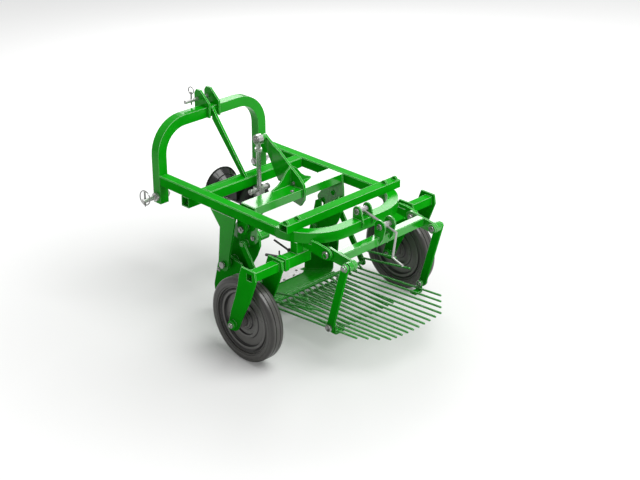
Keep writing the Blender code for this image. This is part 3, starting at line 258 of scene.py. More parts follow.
def green_enamel(name, smooth, dull, coat, shine, wave):
    """Sprayed green enamel: cloudy tone, a painted highlight on the edges that face up, painted shade low
    down, and a little dust low down.
    """
    material, tree, shader = new_material(name)
    skin = use_group(tree, SKIN, scale=260.0, depth=wave)
    edges = use_group(tree, EDGE_HIGHLIGHT_AND_WEAR, radius=0.0028, breakup=70.0, sharpness=9.0)
    dust = use_group(tree, SOIL_DUST, height=0.30, scale=24.0, amount=0.10)
    cloud = spread(tree, skin.outputs["Cloud"], 0.3, 0.7)
    tree.links.new(mix_colour(tree, cloud, GREEN_DEEP, GREEN_LIGHT), shader.inputs["Base Color"])
    # Painted shade: a darker green low down on the frame
    lay_over(material, height_mask(tree, 0.10, 0.52), PAINTED_SHADE_GREEN, 0.55)
    # Painted highlight: near-white green on the rounded edges that face up
    lay_over(material, edges.outputs["Mask"], PAINTED_EDGE_HIGHLIGHT, 0.90)
    lay_over(material, dust.outputs["Mask"], PAINT_SOIL)
    gloss = between(tree, spread(tree, skin.outputs["Cloud"], 0.35, 0.7), smooth, dull)
    dusty = maths(tree, "MULTIPLY", dust.outputs["Mask"], 0.6)
    tree.links.new(maths(tree, "ADD", gloss, dusty, True), shader.inputs["Roughness"])
    tree.links.new(skin.outputs["Normal"], shader.inputs["Normal"])
    shader.inputs["Specular IOR Level"].default_value = shine
    shader.inputs["Coat Weight"].default_value = coat
    shader.inputs["Coat Roughness"].default_value = 0.11
    return material


def zinc_plate(name, bright, dull, smooth):
    """Zinc plating with duller spots, a little rougher there."""
    material, tree, shader = new_material(name)
    skin = use_group(tree, SKIN, scale=420.0, depth=0.00001)
    spots = spread(tree, noise(tree, object_place(tree), 90.0, 5.0, 0.7), 0.45, 0.75)
    tree.links.new(mix_colour(tree, spots, bright, dull), shader.inputs["Base Color"])
    tree.links.new(between(tree, spots, smooth, smooth + 0.10), shader.inputs["Roughness"])
    tree.links.new(skin.outputs["Normal"], shader.inputs["Normal"])
    shader.inputs["Metallic"].default_value = 0.8
    return material


def ground_steel():
    """The share's steel, with fine lines along the way it was ground."""
    material, tree, shader = new_material("ground_steel")
    stretch = tree.nodes.new("ShaderNodeMapping")
    stretch.inputs["Scale"].default_value = (60.0, 3.0, 60.0)
    tree.links.new(object_place(tree), stretch.inputs["Vector"])
    lines = noise(tree, stretch.outputs["Vector"], 9.0, 4.0, 0.6)
    tone = mix_colour(tree, spread(tree, lines, 0.35, 0.7), (0.600, 0.600, 0.590), (0.470, 0.470, 0.460))
    tree.links.new(tone, shader.inputs["Base Color"])
    tree.links.new(between(tree, lines, 0.26, 0.46), shader.inputs["Roughness"])
    shader.inputs["Metallic"].default_value = 1.0
    return material


def clouded(name, scale, depth, tones, smooth, dull, metal=0.0):
    """A finish whose tone and gloss drift with the skin's cloud: casting, oxide, rubber, plastic."""
    material, tree, shader = new_material(name)
    skin = use_group(tree, SKIN, scale=scale, depth=depth)
    cloud = skin.outputs["Cloud"]
    tree.links.new(mix_colour(tree, cloud, *tones), shader.inputs["Base Color"])
    tree.links.new(between(tree, cloud, smooth, dull), shader.inputs["Roughness"])
    tree.links.new(skin.outputs["Normal"], shader.inputs["Normal"])
    shader.inputs["Metallic"].default_value = metal
    return material


def dark_casting():
    """The rough dark skin of the bearing housing and the crank disc."""
    tones = ((0.030, 0.030, 0.031), (0.070, 0.070, 0.070))
    return clouded("dark_casting", 330.0, 0.0003, tones, 0.35, 0.60, 0.5)


def black_oxide():
    """Oiled black screws, with a grey on the crests that face up, partly bare metal and partly a painted
    highlight.
    """
    tones = ((0.050, 0.050, 0.048), (0.095, 0.093, 0.088))
    material = clouded("black_oxide", 600.0, 0.00008, tones, 0.30, 0.50, 0.8)
    edges = use_group(material.node_tree, EDGE_HIGHLIGHT_AND_WEAR, radius=0.0008, breakup=200.0, sharpness=6.0)
    # Partly wear, partly painted highlight: bare-metal grey on the crests that face up
    lay_over(material, edges.outputs["Mask"], CREST_WEAR_AND_HIGHLIGHT, 0.6)
    return material


def tyre_rubber():
    """Black rubber, with painted shade in the moulded steps, and dusty low down."""
    tones = ((0.066, 0.065, 0.061), (0.086, 0.084, 0.079))
    material = clouded("tyre_rubber", 300.0, 0.0002, tones, 0.22, 0.36)
    dust = use_group(material.node_tree, SOIL_DUST, height=0.45, scale=30.0, amount=0.25)
    # Painted shade on the steep faces of the moulded steps
    lay_over(material, step_shade_mask(material.node_tree), RUBBER_STEP_SHADE, 0.6)
    lay_over(material, dust.outputs["Mask"], RUBBER_SOIL)
    return material


def moulded_disc():
    """Grey moulded plastic, with painted shade in the steps."""
    tones = ((0.125, 0.122, 0.116), (0.155, 0.152, 0.143))
    material = clouded("moulded_disc", 380.0, 0.00015, tones, 0.22, 0.36)
    # Painted shade on the steep faces of the moulded steps
    lay_over(material, step_shade_mask(material.node_tree), DISC_STEP_SHADE, 0.90)
    return material


def guard_plastic():
    """The guard's smooth black plastic."""
    tones = ((0.006, 0.006, 0.006), (0.013, 0.013, 0.013))
    return clouded("guard_plastic", 500.0, 0.00004, tones, 0.14, 0.26)


ENAMEL = green_enamel("green_enamel", 0.22, 0.32, 0.0, 0.006, 0.00003)
BRIGHT_ENAMEL = green_enamel("bright_green_enamel", 0.10, 0.16, 0.50, 0.50, 0.000008)
SATIN_ENAMEL = green_enamel("satin_green_enamel", 0.15, 0.24, 0.07, 0.15, 0.00002)
ZINC = zinc_plate("zinc_plate", (0.520, 0.520, 0.510), (0.480, 0.476, 0.466), 0.26)
STEEL = zinc_plate("bolt_steel", (0.360, 0.360, 0.350), (0.240, 0.238, 0.230), 0.18)
GROUND = ground_steel()
CASTING = dark_casting()
OXIDE = black_oxide()
RUBBER = tyre_rubber()
DISC = moulded_disc()
PLASTIC = guard_plastic()

# The finish of each CAD node that isn't in the plain enamel
NODE_FINISH = {
    "tyre": RUBBER, "wheel_disc": DISC, "share": GROUND, "drive_guard": PLASTIC,
    "drive_bearing": CASTING, "crank_disc": CASTING, "clamp_screw": OXIDE,
    "drive_shaft": ZINC, "connecting_rod": ZINC, "adjusting_screw": ZINC,
    "wheel_axle": ZINC, "lower_hitch_pin": ZINC, "top_hitch_pin": ZINC,
    "rocker": BRIGHT_ENAMEL, "sieve_arm": BRIGHT_ENAMEL, "sieve_cross_tube": BRIGHT_ENAMEL,
    "hitch_arch": SATIN_ENAMEL, "top_hitch_ear": SATIN_ENAMEL,
    "bow_tube": SATIN_ENAMEL, "share_leg": SATIN_ENAMEL,
}

for name, node in frame["nodes"].items():
    plain = name.removesuffix("_left").removesuffix("_right")
    for face_slot in node.material_slots:
        face_slot.material = NODE_FINISH.get(plain, ENAMEL)


# Places in metres, from the frame's joints and boxes where one stands there

SIDES = (("left", -1.0), ("right", 1.0))
RIGHT = (1.0, 0.0, 0.0)
LEFT = (-1.0, 0.0, 0.0)
FORWARD = (0.0, 1.0, 0.0)
BACK = (0.0, -1.0, 0.0)
UP = (0.0, 0.0, 1.0)
DOWN = (0.0, 0.0, -1.0)

JOINT_PLACE = {joint["name"]: Vector(joint["pos_m"]) for joint in frame["joints"] if "pos_m" in joint}
WHEEL_CENTRE = JOINT_PLACE["wheel_right_spin"]
SHAFT_AXIS = JOINT_PLACE["drive_shaft_spin"]
ROCKER_PIVOT = JOINT_PLACE["rocker_swing"]
SHARE_PIVOT = JOINT_PLACE["front_shaker_swing"]
ROD_EYE = JOINT_PLACE["connecting_rod_swing"]
ARM_PIVOT = JOINT_PLACE["sieve_frame_tilt"]
LINK_FOOT = JOINT_PLACE["rear_links_swing"]

LINK_HEAD = Vector((0.0, -0.560, 0.515))
DRIVE_PIN = Vector((0.0, 0.035, 0.447))
SCREW_TOP = Vector((0.0, -0.372, 0.630))
SCREW_FOOT = Vector((0.0, -0.507, 0.600))
ROD_FOOT = Vector((0.0, ROD_EYE.y, 0.535))
CARRIER_BOLT_UPPER = Vector((0.0, 0.250, 0.225))
CARRIER_BOLT_LOWER = Vector((0.0, 0.215, 0.120))

BEAM_LOW, BEAM_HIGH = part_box("side_beam_right")
GUARD_LOW, GUARD_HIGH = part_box("drive_guard")
ARM_INNER_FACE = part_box("sieve_arm_right")[0].x
CARRIER_OUTER_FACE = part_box("share_carrier_right")[1].x
FORK_OUTER_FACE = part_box("wheel_fork_right")[1].x
FORK_INNER_FACE = 0.4160
SHAFT_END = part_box("drive_shaft")[1].y

# The way that is square to the share's slope, and the gap between a head and its face
SHARE_UP = (0.0, 0.21, 1.0)
SEAT = 0.0002


def beside(point, x):
    """The place level with a point, so far to the right of the middle plane."""
    return (x, point[1], point[2])


def on_shaft(y):
    """The place on the drive shaft's axis, so far forward."""
    return (SHAFT_AXIS.x, y, SHAFT_AXIS.z)


def middle_of(node):
    """The middle of a CAD node's box."""
    low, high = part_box(node)
    return (low + high) / 2.0


def mirrored(vector, side):
    """A place or heading of the right side, turned over to the given side. The added zero
    keeps a minus zero out, which would turn a piece that points up half round."""
    return Vector((side * vector[0] + 0.0, vector[1], vector[2]))


# Tools for the small pieces

def pick_none():
    bpy.ops.object.select_all(action="DESELECT")


def work_on(piece):
    pick_none()
    piece.select_set(True)
    bpy.context.view_layer.objects.active = piece


def settle(piece):
    """Take the object's place, turn and scale into its mesh."""
    work_on(piece)
    bpy.ops.object.transform_apply(location=True, rotation=True, scale=True)


def start_edit(piece):
    work_on(piece)
    bpy.ops.object.mode_set(mode="EDIT")
    bpy.ops.mesh.select_mode(type="FACE")


def end_edit():
    bpy.ops.object.mode_set(mode="OBJECT")


def pick_faces(piece, test):
    """Select the faces whose middle and normal pass the test, while the piece is being edited."""
    bpy.ops.mesh.select_all(action="DESELECT")
    shape = bmesh.from_edit_mesh(piece.data)
    for face in shape.faces:
        if test(face.calc_center_median(), face.normal):
            face.select_set(True)
    bmesh.update_edit_mesh(piece.data)


def pick_edges(piece, test):
    """Select the edges whose two end points pass the test."""
    bpy.ops.mesh.select_all(action="DESELECT")
    bpy.ops.mesh.select_mode(type="EDGE")
    shape = bmesh.from_edit_mesh(piece.data)
    for edge in shape.edges:
        if test(edge.verts[0].co, edge.verts[1].co):
            edge.select_set(True)
    bmesh.update_edit_mesh(piece.data)


def pick_points(piece, test):
    """Select the points whose place passes the test."""
    bpy.ops.mesh.select_all(action="DESELECT")
    shape = bmesh.from_edit_mesh(piece.data)
    for point in shape.verts:
        point.select_set(test(point.co))
    bmesh.update_edit_mesh(piece.data)


def over(level):
    """A test for edges: both ends lie over the level."""
    return lambda first, second: first.z > level and second.z > level


def looking_up(least, level=-1.0):
    """A test for faces: turned up at least so far, with the middle over the level."""
    return lambda middle, normal: normal.z > least and middle.z > level


def end_face(middle, normal):
    """A test for faces: one of the two ends of a piece along Z."""
    return abs(normal.z) > 0.9


def cut_across(level):
    """Cut the mesh that is being edited all round at a height."""
    bpy.ops.mesh.select_all(action="SELECT")
    bpy.ops.mesh.bisect(plane_co=(0.0, 0.0, level), plane_no=UP)


def stretch_picked(x, y, z):
    bpy.ops.transform.resize(value=(x, y, z))


def bridge_rims():
    """Join the two open rims of the mesh that is being edited, and turn all faces outwards."""
    bpy.ops.mesh.select_mode(type="EDGE")
    bpy.ops.mesh.select_all(action="DESELECT")
    bpy.ops.mesh.select_non_manifold()
    bpy.ops.mesh.bridge_edge_loops()
    bpy.ops.mesh.select_all(action="SELECT")
    bpy.ops.mesh.normals_make_consistent(inside=False)


def cylinder(name, sides, radius, low, high):
    """A cylinder along Z between two heights."""
    pick_none()
    bpy.ops.mesh.primitive_cylinder_add(
        vertices=sides, radius=radius, depth=high - low, location=(0.0, 0.0, (low + high) / 2.0))
    piece = bpy.context.object
    piece.name = name
    settle(piece)
    return piece


def merge(main, other):
    """Join another piece into the main one."""
    work_on(main)
    other.select_set(True)
    bpy.ops.object.join()
    return main


def repeat_up(piece, count, pitch):
    """Repeat a piece along Z, all in one mesh."""
    row = piece.modifiers.new("row", "ARRAY")
    row.count = count
    row.use_relative_offset = False
    row.use_constant_offset = True
    row.constant_offset_displace = (0.0, 0.0, pitch)
    work_on(piece)
    bpy.ops.object.modifier_apply(modifier=row.name)


def copy_piece(master, name, place, heading, finish, body, angle=35.0):
    """A copy with its own mesh, its Z axis turned to the heading, set down in its place."""
    work_on(master)
    bpy.ops.object.duplicate(linked=False)
    piece = bpy.context.object
    piece.name = name
    turn = Vector(heading).to_track_quat("Z", "Y").to_matrix().to_4x4()
    piece.matrix_world = Matrix.Translation(Vector(place)) @ turn
    settle(piece)
    piece.data.materials.clear()
    piece.data.materials.append(finish)
    bpy.ops.object.shade_smooth_by_angle(angle=math.radians(angle))
    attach(piece, body)
    return piece


def copy_to_both_sides(finish, rows):
    """Copies on the left and the right. A row has the master, the name, the place and the
    heading on the right side, and the body."""
    for name, side in SIDES:
        for master, label, place, heading, body in rows:
            copy_piece(master, label + name, mirrored(place, side), mirrored(heading, side), finish, body)


def put_away(*masters):
    for master in masters:
        bpy.data.objects.remove(master, do_unlink=True)


# Bolts, caps and pins

WASHER_HEIGHT = 0.0022
WASHER_EDGE = 0.0006
HALF_TURN = 0.0009
RING_WIRE = 0.0028
RING_OVAL = 0.94
RING_LEAN = 86.0
LYNCH_TIP = 0.006
LYNCH_HEAD = 0.009


def hex_head(radius, height, washer):
    """A hexagon head with turned corners, its raised ring and the washer under it."""
    top = height - 0.0005
    head = cylinder("hex_head", 6, radius, WASHER_HEIGHT - WASHER_EDGE, height)
    start_edit(head)
    pick_edges(head, over(top))
    bpy.ops.mesh.bevel(offset=radius * 0.10, segments=2, affect="EDGES")
    bpy.ops.mesh.select_mode(type="FACE")
    pick_faces(head, looking_up(0.9, top))
    bpy.ops.mesh.inset(thickness=radius * 0.10, depth=0.0)
    bpy.ops.mesh.inset(thickness=radius * 0.05, depth=0.0006)
    end_edit()
    ring = cylinder("washer", 28, washer, 0.0, WASHER_HEIGHT)
    start_edit(ring)
    pick_edges(ring, over(WASHER_HEIGHT - 0.0002))
    bpy.ops.mesh.bevel(offset=WASHER_EDGE, segments=2, affect="EDGES")
    end_edit()
    return merge(head, ring)


def round_head(radius, height):
    """A turned pin end: a chamfered rim, a slight dish and a centre mark."""
    top = height - 0.0002
    head = cylinder("round_head", 36, radius, 0.0, height)
    start_edit(head)
    pick_edges(head, over(top))
    bpy.ops.mesh.bevel(offset=radius * 0.14, segments=3, affect="EDGES")
    bpy.ops.mesh.select_mode(type="FACE")
    pick_faces(head, looking_up(0.99, top))
    for portion, depth in ((0.08, 0.0), (0.06, -0.0003), (0.62, 0.0), (0.04, -0.0003)):
        bpy.ops.mesh.inset(thickness=radius * portion, depth=depth)
    end_edit()
    return head


def nut_on_stud(radius, height, stud_radius, stud_length):
    """A nut on its washer, with the threaded end standing out."""
    nut = hex_head(radius, height, radius * 1.25)
    stud = cylinder("stud", 20, stud_radius, height - 0.001, height + stud_length)
    thread_start = height - 0.0004

    def in_groove(point):
        turn = (point.z - thread_start) / HALF_TURN
        return abs(turn - round(turn)) < 0.05 and round(turn) % 2 == 1

    start_edit(stud)
    for i in range(2 * max(int(stud_length / (2.0 * HALF_TURN)), 1)):
        cut_across(thread_start + HALF_TURN * (i + 1))
    pick_points(stud, in_groove)
    stretch_picked(0.88, 0.88, 1.0)
    end_edit()
    return merge(nut, stud)


def ring_of_wire(radius, wire, oval=1.0):
    """A ring of round wire, drawn oval where oval isn't 1."""
    pick_none()
    bpy.ops.mesh.primitive_torus_add(
        major_radius=radius, minor_radius=wire, major_segments=40, minor_segments=8, location=(0.0, 0.0, 0.0))
    ring = bpy.context.object
    start_edit(ring)
    bpy.ops.mesh.select_all(action="SELECT")
    stretch_picked(oval, 1.0, 1.0)
    end_edit()
    return ring


def lynch_pin(radius, below, above, ring_radius, ring_height):
    """A spring-ring pin along Z: tapered shank, head, and the wire ring that snaps over."""
    shank = cylinder("shank", 16, radius, -below, above)
    start_edit(shank)
    pick_faces(shank, lambda middle, normal: normal.z < -0.9)
    bpy.ops.mesh.extrude_region_move(TRANSFORM_OT_translate={"value": (0.0, 0.0, -LYNCH_TIP)})
    stretch_picked(0.45, 0.45, 1.0)
    pick_faces(shank, looking_up(0.9))
    bpy.ops.mesh.inset(thickness=-radius * 0.5, depth=0.001)
    bpy.ops.mesh.extrude_region_move(TRANSFORM_OT_translate={"value": (0.0, 0.0, LYNCH_HEAD)})
    bpy.ops.mesh.inset(thickness=radius * 0.4, depth=0.0015)
    end_edit()
    ring = ring_of_wire(ring_radius, RING_WIRE, RING_OVAL)
    lean = Matrix.Rotation(math.radians(RING_LEAN), 4, "Y")
    ring.matrix_world = Matrix.Translation((0.0, 0.0, ring_height)) @ lean
    settle(ring)
    return merge(shank, ring)


def thread_sleeve(radius, pitch, length):
    """Rounded ridges along Z that read as a cut thread."""
    crest = pitch / 2.0
    ridge = cylinder("ridge", 20, radius * 0.90, 0.0, pitch)
    start_edit(ridge)
    cut_across(crest)
    pick_points(ridge, lambda point: abs(point.z - crest) < pitch * 0.1)
    stretch_picked(1.17, 1.17, 1.0)
    end_edit()
    repeat_up(ridge, int(length / pitch), pitch * 0.98)
    return ridge


def weld_bead(length, radius):
    """A run of overlapping weld ripples along Z."""
    pick_none()
    bpy.ops.mesh.primitive_uv_sphere_add(segments=10, ring_count=6, radius=radius, location=(0.0, 0.0, 0.0))
    drop = bpy.context.object
    start_edit(drop)
    bpy.ops.mesh.select_all(action="SELECT")
    stretch_picked(1.0, 1.0, 0.62)
    end_edit()
    ripple = radius * 0.7
    repeat_up(drop, max(int(length / ripple), 2), ripple)
    return drop


# Wheels: each step is a radius and a half width, from the outside inwards

TYRE_RADIUS = 0.1985
TYRE_TREAD = 0.0240
GROOVE_INNER = 0.0095
GROOVE_OUTER = 0.0135
TYRE_WALL = (
    (0.1960, 0.0300), (0.1900, 0.0352), (0.1810, 0.0378), (0.1800, 0.0368), (0.1782, 0.0368),
    (0.1772, 0.0380), (0.1690, 0.0380), (0.1640, 0.0366), (0.1625, 0.0345), (0.1590, 0.0345),
    (0.1580, 0.0362), (0.1560, 0.0362), (0.1546, 0.0340))
DISC_RADIUS = 0.1540
DISC_RIM = 0.0270
DISC_FACE = (
    (0.1520, 0.0282), (0.1495, 0.0282), (0.1478, 0.0262), (0.1450, 0.0215), (0.1425, 0.0205),
    (0.1405, 0.0238), (0.1380, 0.0250), (0.1300, 0.0250), (0.1278, 0.0238), (0.1252, 0.0140),
    (0.1225, 0.0112), (0.1100, 0.0118), (0.0925, 0.0135), (0.0900, 0.0142), (0.0875, 0.0180),
    (0.0855, 0.0188), (0.0760, 0.0192), (0.0738, 0.0180), (0.0715, 0.0108), (0.0690, 0.0094),
    (0.0520, 0.0100), (0.0500, 0.0106), (0.0475, 0.0155), (0.0450, 0.0172), (0.0400, 0.0184),
    (0.0385, 0.0210), (0.0300, 0.0240), (0.0285, 0.0300), (0.0275, 0.0520), (0.0262, 0.0590),
    (0.0240, 0.0600), (0.0150, 0.0600))


def step_caps(piece, radius, height, steps):
    """Inset both end faces again and again, to the radius and height of each step."""
    pick_faces(piece, end_face)
    for next_radius, next_height in steps:
        bpy.ops.mesh.inset(thickness=radius - next_radius, depth=next_height - height)
        radius = next_radius
        height = next_height


def ribbed_tyre():
    """A solid tyre: two grooves round the tread, moulded rings on the walls."""

    def in_groove(middle, normal):
        return abs(normal.z) < 0.5 and GROOVE_INNER < abs(middle.z) < GROOVE_OUTER

    tyre = cylinder("ribbed_tyre", 96, TYRE_RADIUS, -TYRE_TREAD, TYRE_TREAD)
    start_edit(tyre)
    for level in (-GROOVE_OUTER, -GROOVE_INNER, GROOVE_INNER, GROOVE_OUTER):
        cut_across(level)
    pick_faces(tyre, in_groove)
    bpy.ops.mesh.extrude_region_move()
    stretch_picked(0.978, 0.978, 0.72)
    step_caps(tyre, TYRE_RADIUS, TYRE_TREAD, TYRE_WALL)
    bpy.ops.mesh.delete(type="FACE")
    bridge_rims()
    end_edit()
    return tyre


def dished_disc():
    """The moulded wheel disc: rolled rim, raised rings, a dish and the stepped hub."""
    disc = cylinder("dished_disc", 96, DISC_RADIUS, -DISC_RIM, DISC_RIM)
    start_edit(disc)
    step_caps(disc, DISC_RADIUS, DISC_RIM, DISC_FACE)
    end_edit()
    return disc


def dress_wheels():
    """The moulded tyres and discs, in place of the plainer CAD ones."""
    tyre = ribbed_tyre()
    disc = dished_disc()
    for name, side in SIDES:
        place = mirrored(WHEEL_CENTRE, side)
        outward = mirrored(RIGHT, side)
        body = "wheel_" + name
        rubber = copy_piece(tyre, "ribbed_tyre_" + name, place, outward, RUBBER, body, 28.0)
        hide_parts("tyre_" + name)
        moulding = copy_piece(disc, "dished_disc_" + name, place, outward, DISC, body, 40.0)
        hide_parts("wheel_disc_" + name)
    put_away(tyre, disc)


# Fasteners of the frame, the shaker and the sieves

def dress_pivots():
    """Ends, nuts and bolts of the linkage's pins, and the bolts of share, rocker and bearing."""
    large_end = round_head(0.0165, 0.0110)
    flat_end = round_head(0.0150, 0.0050)
    small_end = round_head(0.0115, 0.0075)
    large_bolt = hex_head(0.0135, 0.0100, 0.0175)
    small_bolt = hex_head(0.0080, 0.0060, 0.0105)
    share_bolt = hex_head(0.0054, 0.0042, 0.0070)
    carrier_face = CARRIER_OUTER_FACE + SEAT
    copy_to_both_sides(STEEL, (
        (large_end, "rocker_pivot_head_", beside(ROCKER_PIVOT, 0.3112), RIGHT, "frame"),
        (large_end, "share_pivot_head_", beside(SHARE_PIVOT, 0.3460), RIGHT, "frame"),
        (large_end, "arm_pivot_head_", beside(ARM_PIVOT, 0.2842), RIGHT, "frame"),
        (flat_end, "link_head_inner_", beside(LINK_HEAD, ARM_INNER_FACE - SEAT), LEFT, "sieve_frame"),
        (small_end, "drive_pin_head_", beside(DRIVE_PIN, 0.2802), RIGHT, "rocker"),
        (flat_end, "upper_trunnion_head_", beside(SCREW_TOP, 0.0352), RIGHT, "frame"),
        (flat_end, "lower_trunnion_head_", beside(SCREW_FOOT, 0.0352), RIGHT, "sieve_frame"),
        (large_end, "link_foot_outer_", beside(LINK_FOOT, 0.3088), RIGHT, "rear_sieve"),
        (flat_end, "link_foot_inner_", beside(LINK_FOOT, 0.2762), LEFT, "rear_sieve"),
        (large_bolt, "link_head_bolt_", beside(LINK_HEAD, 0.3082), RIGHT, "rear_links"),
        (large_bolt, "arm_pivot_nut_", beside(ARM_PIVOT, 0.2575), LEFT, "frame"),
        (share_bolt, "share_bolt_rear_", (0.0680, 0.2060, 0.0488), SHARE_UP, "front_shaker"),
        (share_bolt, "share_bolt_middle_", (0.1390, 0.2100, 0.0479), SHARE_UP, "front_shaker"),
        (share_bolt, "share_bolt_side_", (0.1950, 0.2500, 0.0393), SHARE_UP, "front_shaker"),
        (small_bolt, "carrier_bolt_upper_", beside(CARRIER_BOLT_UPPER, carrier_face), RIGHT, "front_shaker"),
        (small_bolt, "carrier_bolt_lower_", beside(CARRIER_BOLT_LOWER, carrier_face), RIGHT, "front_shaker"),
    ))
    copy_piece(small_bolt, "lever_bolt", (0.0160, 0.080, 0.611), LEFT, STEEL, "rocker")
    copy_piece(small_bolt, "channel_bolt", (-0.034, 0.037, 0.600), UP, STEEL, "rocker")
    for i, (x, y) in enumerate(((-0.050, 0.402), (0.050, 0.402), (-0.050, 0.462), (0.050, 0.462))):
        name = "bearing_bolt_%d" % (i + 1)
        copy_piece(large_bolt, name, (x, y, SHAFT_AXIS.z), DOWN, STEEL, "frame")
    put_away(large_end, flat_end, small_end, large_bolt, small_bolt, share_bolt)


CLAMP_BAR_RADIUS = 0.0045
CLAMP_BAR_LENGTH = 0.098
CLAMP_EYE_HEIGHT = 0.016
AXLE_BOSS_HEIGHT = 0.0176
AXLE_NUT_SINK = 0.0006


def clamp_handle():
    """The T-screw's bar along Z, with the round end of the screw that it goes through."""
    bar = cylinder("handle", 12, CLAMP_BAR_RADIUS, 0.0, CLAMP_BAR_LENGTH)
    start_edit(bar)
    pick_faces(bar, end_face)
    bpy.ops.mesh.inset(thickness=0.0012, depth=0.0010)
    end_edit()
    eye = round_head(0.0105, 0.0060)
    across = Matrix.Rotation(math.radians(90.0), 4, "Y")
    eye.matrix_world = Matrix.Translation((-0.005, 0.0, CLAMP_EYE_HEIGHT)) @ across
    settle(eye)
    return merge(bar, eye)


def dress_wheel_mounts():
    """Axle bosses and nuts, the threads of the clamp screws and their handles."""
    nut = nut_on_stud(0.0105, 0.0060, 0.0066, 0.0030)
    boss = round_head(0.0212, AXLE_BOSS_HEIGHT)
    thread = thread_sleeve(0.0066, 0.0040, 0.060)
    screw_way = Vector((0.037, 0.088, 0.0)).normalized()
    thread_start = Vector((0.3415, -0.2397, 0.465)) + screw_way * 0.034
    ends = (("outer_", FORK_OUTER_FACE + SEAT, RIGHT), ("inner_", FORK_INNER_FACE - SEAT, LEFT))
    for name, side in SIDES:
        stem = "wheel_stem_" + name
        for label, x, facing in ends:
            heading = mirrored(facing, side)
            place = mirrored(beside(WHEEL_CENTRE, x), side)
            copy_piece(boss, "axle_boss_" + label + name, place, heading, ENAMEL, stem)
            place = place + heading * (AXLE_BOSS_HEIGHT - AXLE_NUT_SINK)
            copy_piece(nut, "axle_nut_" + label + name, place, heading, STEEL, stem)
        copy_piece(thread, "clamp_thread_" + name, mirrored(thread_start, side), mirrored(screw_way, side),
                   OXIDE, "frame")
    put_away(nut, boss, thread)
    handle = clamp_handle()
    handle_foot = (0.3050, -0.2437, 0.4800)
    handle_way = (0.034, 0.062, 0.044)
    copy_to_both_sides(OXIDE, ((handle, "clamp_handle_", handle_foot, handle_way, "frame"),))
    put_away(handle)


LOWER_PIN = middle_of("lower_hitch_pin_right")
TOP_PIN = middle_of("top_hitch_pin")
LOWER_PIN_HOLE_X = 0.413
TOP_PIN_HOLE_X = -0.075
SPLINE_RADIUS = 0.0176
SPLINE_LENGTH = 0.078


def dress_hitch():
    """Spring-ring pins through the hitch pins, and the splines on the drive shaft."""
    lower = lynch_pin(0.0045, 0.024, 0.038, 0.0365, 0.0150)
    upper = lynch_pin(0.0040, 0.018, 0.034, 0.0180, 0.0500)
    copy_to_both_sides(STEEL, ((lower, "lower_ring_pin_", beside(LOWER_PIN, LOWER_PIN_HOLE_X), UP, "frame"),))
    copy_piece(upper, "top_ring_pin", beside(TOP_PIN, TOP_PIN_HOLE_X), UP, STEEL, "frame")
    put_away(lower, upper)
    spline = cylinder("splines", 36, SPLINE_RADIUS, 0.0, SPLINE_LENGTH)

    def on_rib(middle, normal):
        turn = math.degrees(math.atan2(middle.y, middle.x)) % 60.0
        return abs(normal.z) < 0.5 and turn < 30.0

    start_edit(spline)
    pick_faces(spline, on_rib)
    bpy.ops.mesh.extrude_region_move()
    stretch_picked(1.13, 1.13, 1.0)
    end_edit()
    spline_start = SHAFT_END - SPLINE_LENGTH - 0.001
    copy_piece(spline, "shaft_splines", on_shaft(spline_start), FORWARD, ZINC, "drive_shaft", 25.0)
    put_away(spline)


GUARD_MOUTH = GUARD_HIGH.x
GUARD_DEPTH = GUARD_HIGH.y - GUARD_LOW.y
GUARD_NECK = 0.0450
GUARD_WALL = 0.0030
GUARD_HOLE = 0.0235
GUARD_INSIDE = 0.0470
GUARD_FLOOR = 0.0060


def guard_bowl():
    """The cone guard along Z: an open bowl with a thin wall and a hole for the shaft."""
    pick_none()
    bpy.ops.mesh.primitive_cone_add(
        vertices=72, radius1=GUARD_NECK, radius2=GUARD_MOUTH, depth=GUARD_DEPTH,
        location=(0.0, 0.0, GUARD_DEPTH / 2.0))
    bowl = bpy.context.object
    settle(bowl)
    start_edit(bowl)
    pick_faces(bowl, looking_up(0.9))
    bpy.ops.mesh.inset(thickness=GUARD_WALL, depth=0.0)
    bpy.ops.mesh.inset(thickness=GUARD_MOUTH - GUARD_WALL - GUARD_INSIDE, depth=GUARD_FLOOR - GUARD_DEPTH)
    bpy.ops.mesh.inset(thickness=GUARD_INSIDE - GUARD_HOLE, depth=0.0)
    bpy.ops.mesh.delete(type="FACE")
    pick_faces(bowl, lambda middle, normal: normal.z < -0.9 and abs(middle.z) < 0.001)
    bpy.ops.mesh.inset(thickness=GUARD_NECK - GUARD_HOLE, depth=0.0)
    bpy.ops.mesh.delete(type="FACE")
    bridge_rims()
    end_edit()
    return bowl


def dress_guard():
    """The guard's bowl, its rolled lip and rib, and the band where it meets the bearing."""
    bowl = guard_bowl()
    shell = copy_piece(bowl, "guard_shell", on_shaft(GUARD_LOW.y), FORWARD, PLASTIC, "frame")
    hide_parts("drive_guard")
    put_away(bowl)
    # name, radius of the ring, radius of its wire, how far ahead of the bowl's back, finish
    rings = (
        ("guard_lip", GUARD_MOUTH, 0.0042, 0.0637, PLASTIC),
        ("guard_rib", 0.0745, 0.0026, 0.0337, PLASTIC),
        ("guard_band", 0.0470, 0.0034, 0.0037, ZINC),
    )
    for name, radius, wire, ahead, finish in rings:
        ring = ring_of_wire(radius, wire)
        copy_piece(ring, name, on_shaft(GUARD_LOW.y + ahead), FORWARD, finish, "frame")
        put_away(ring)


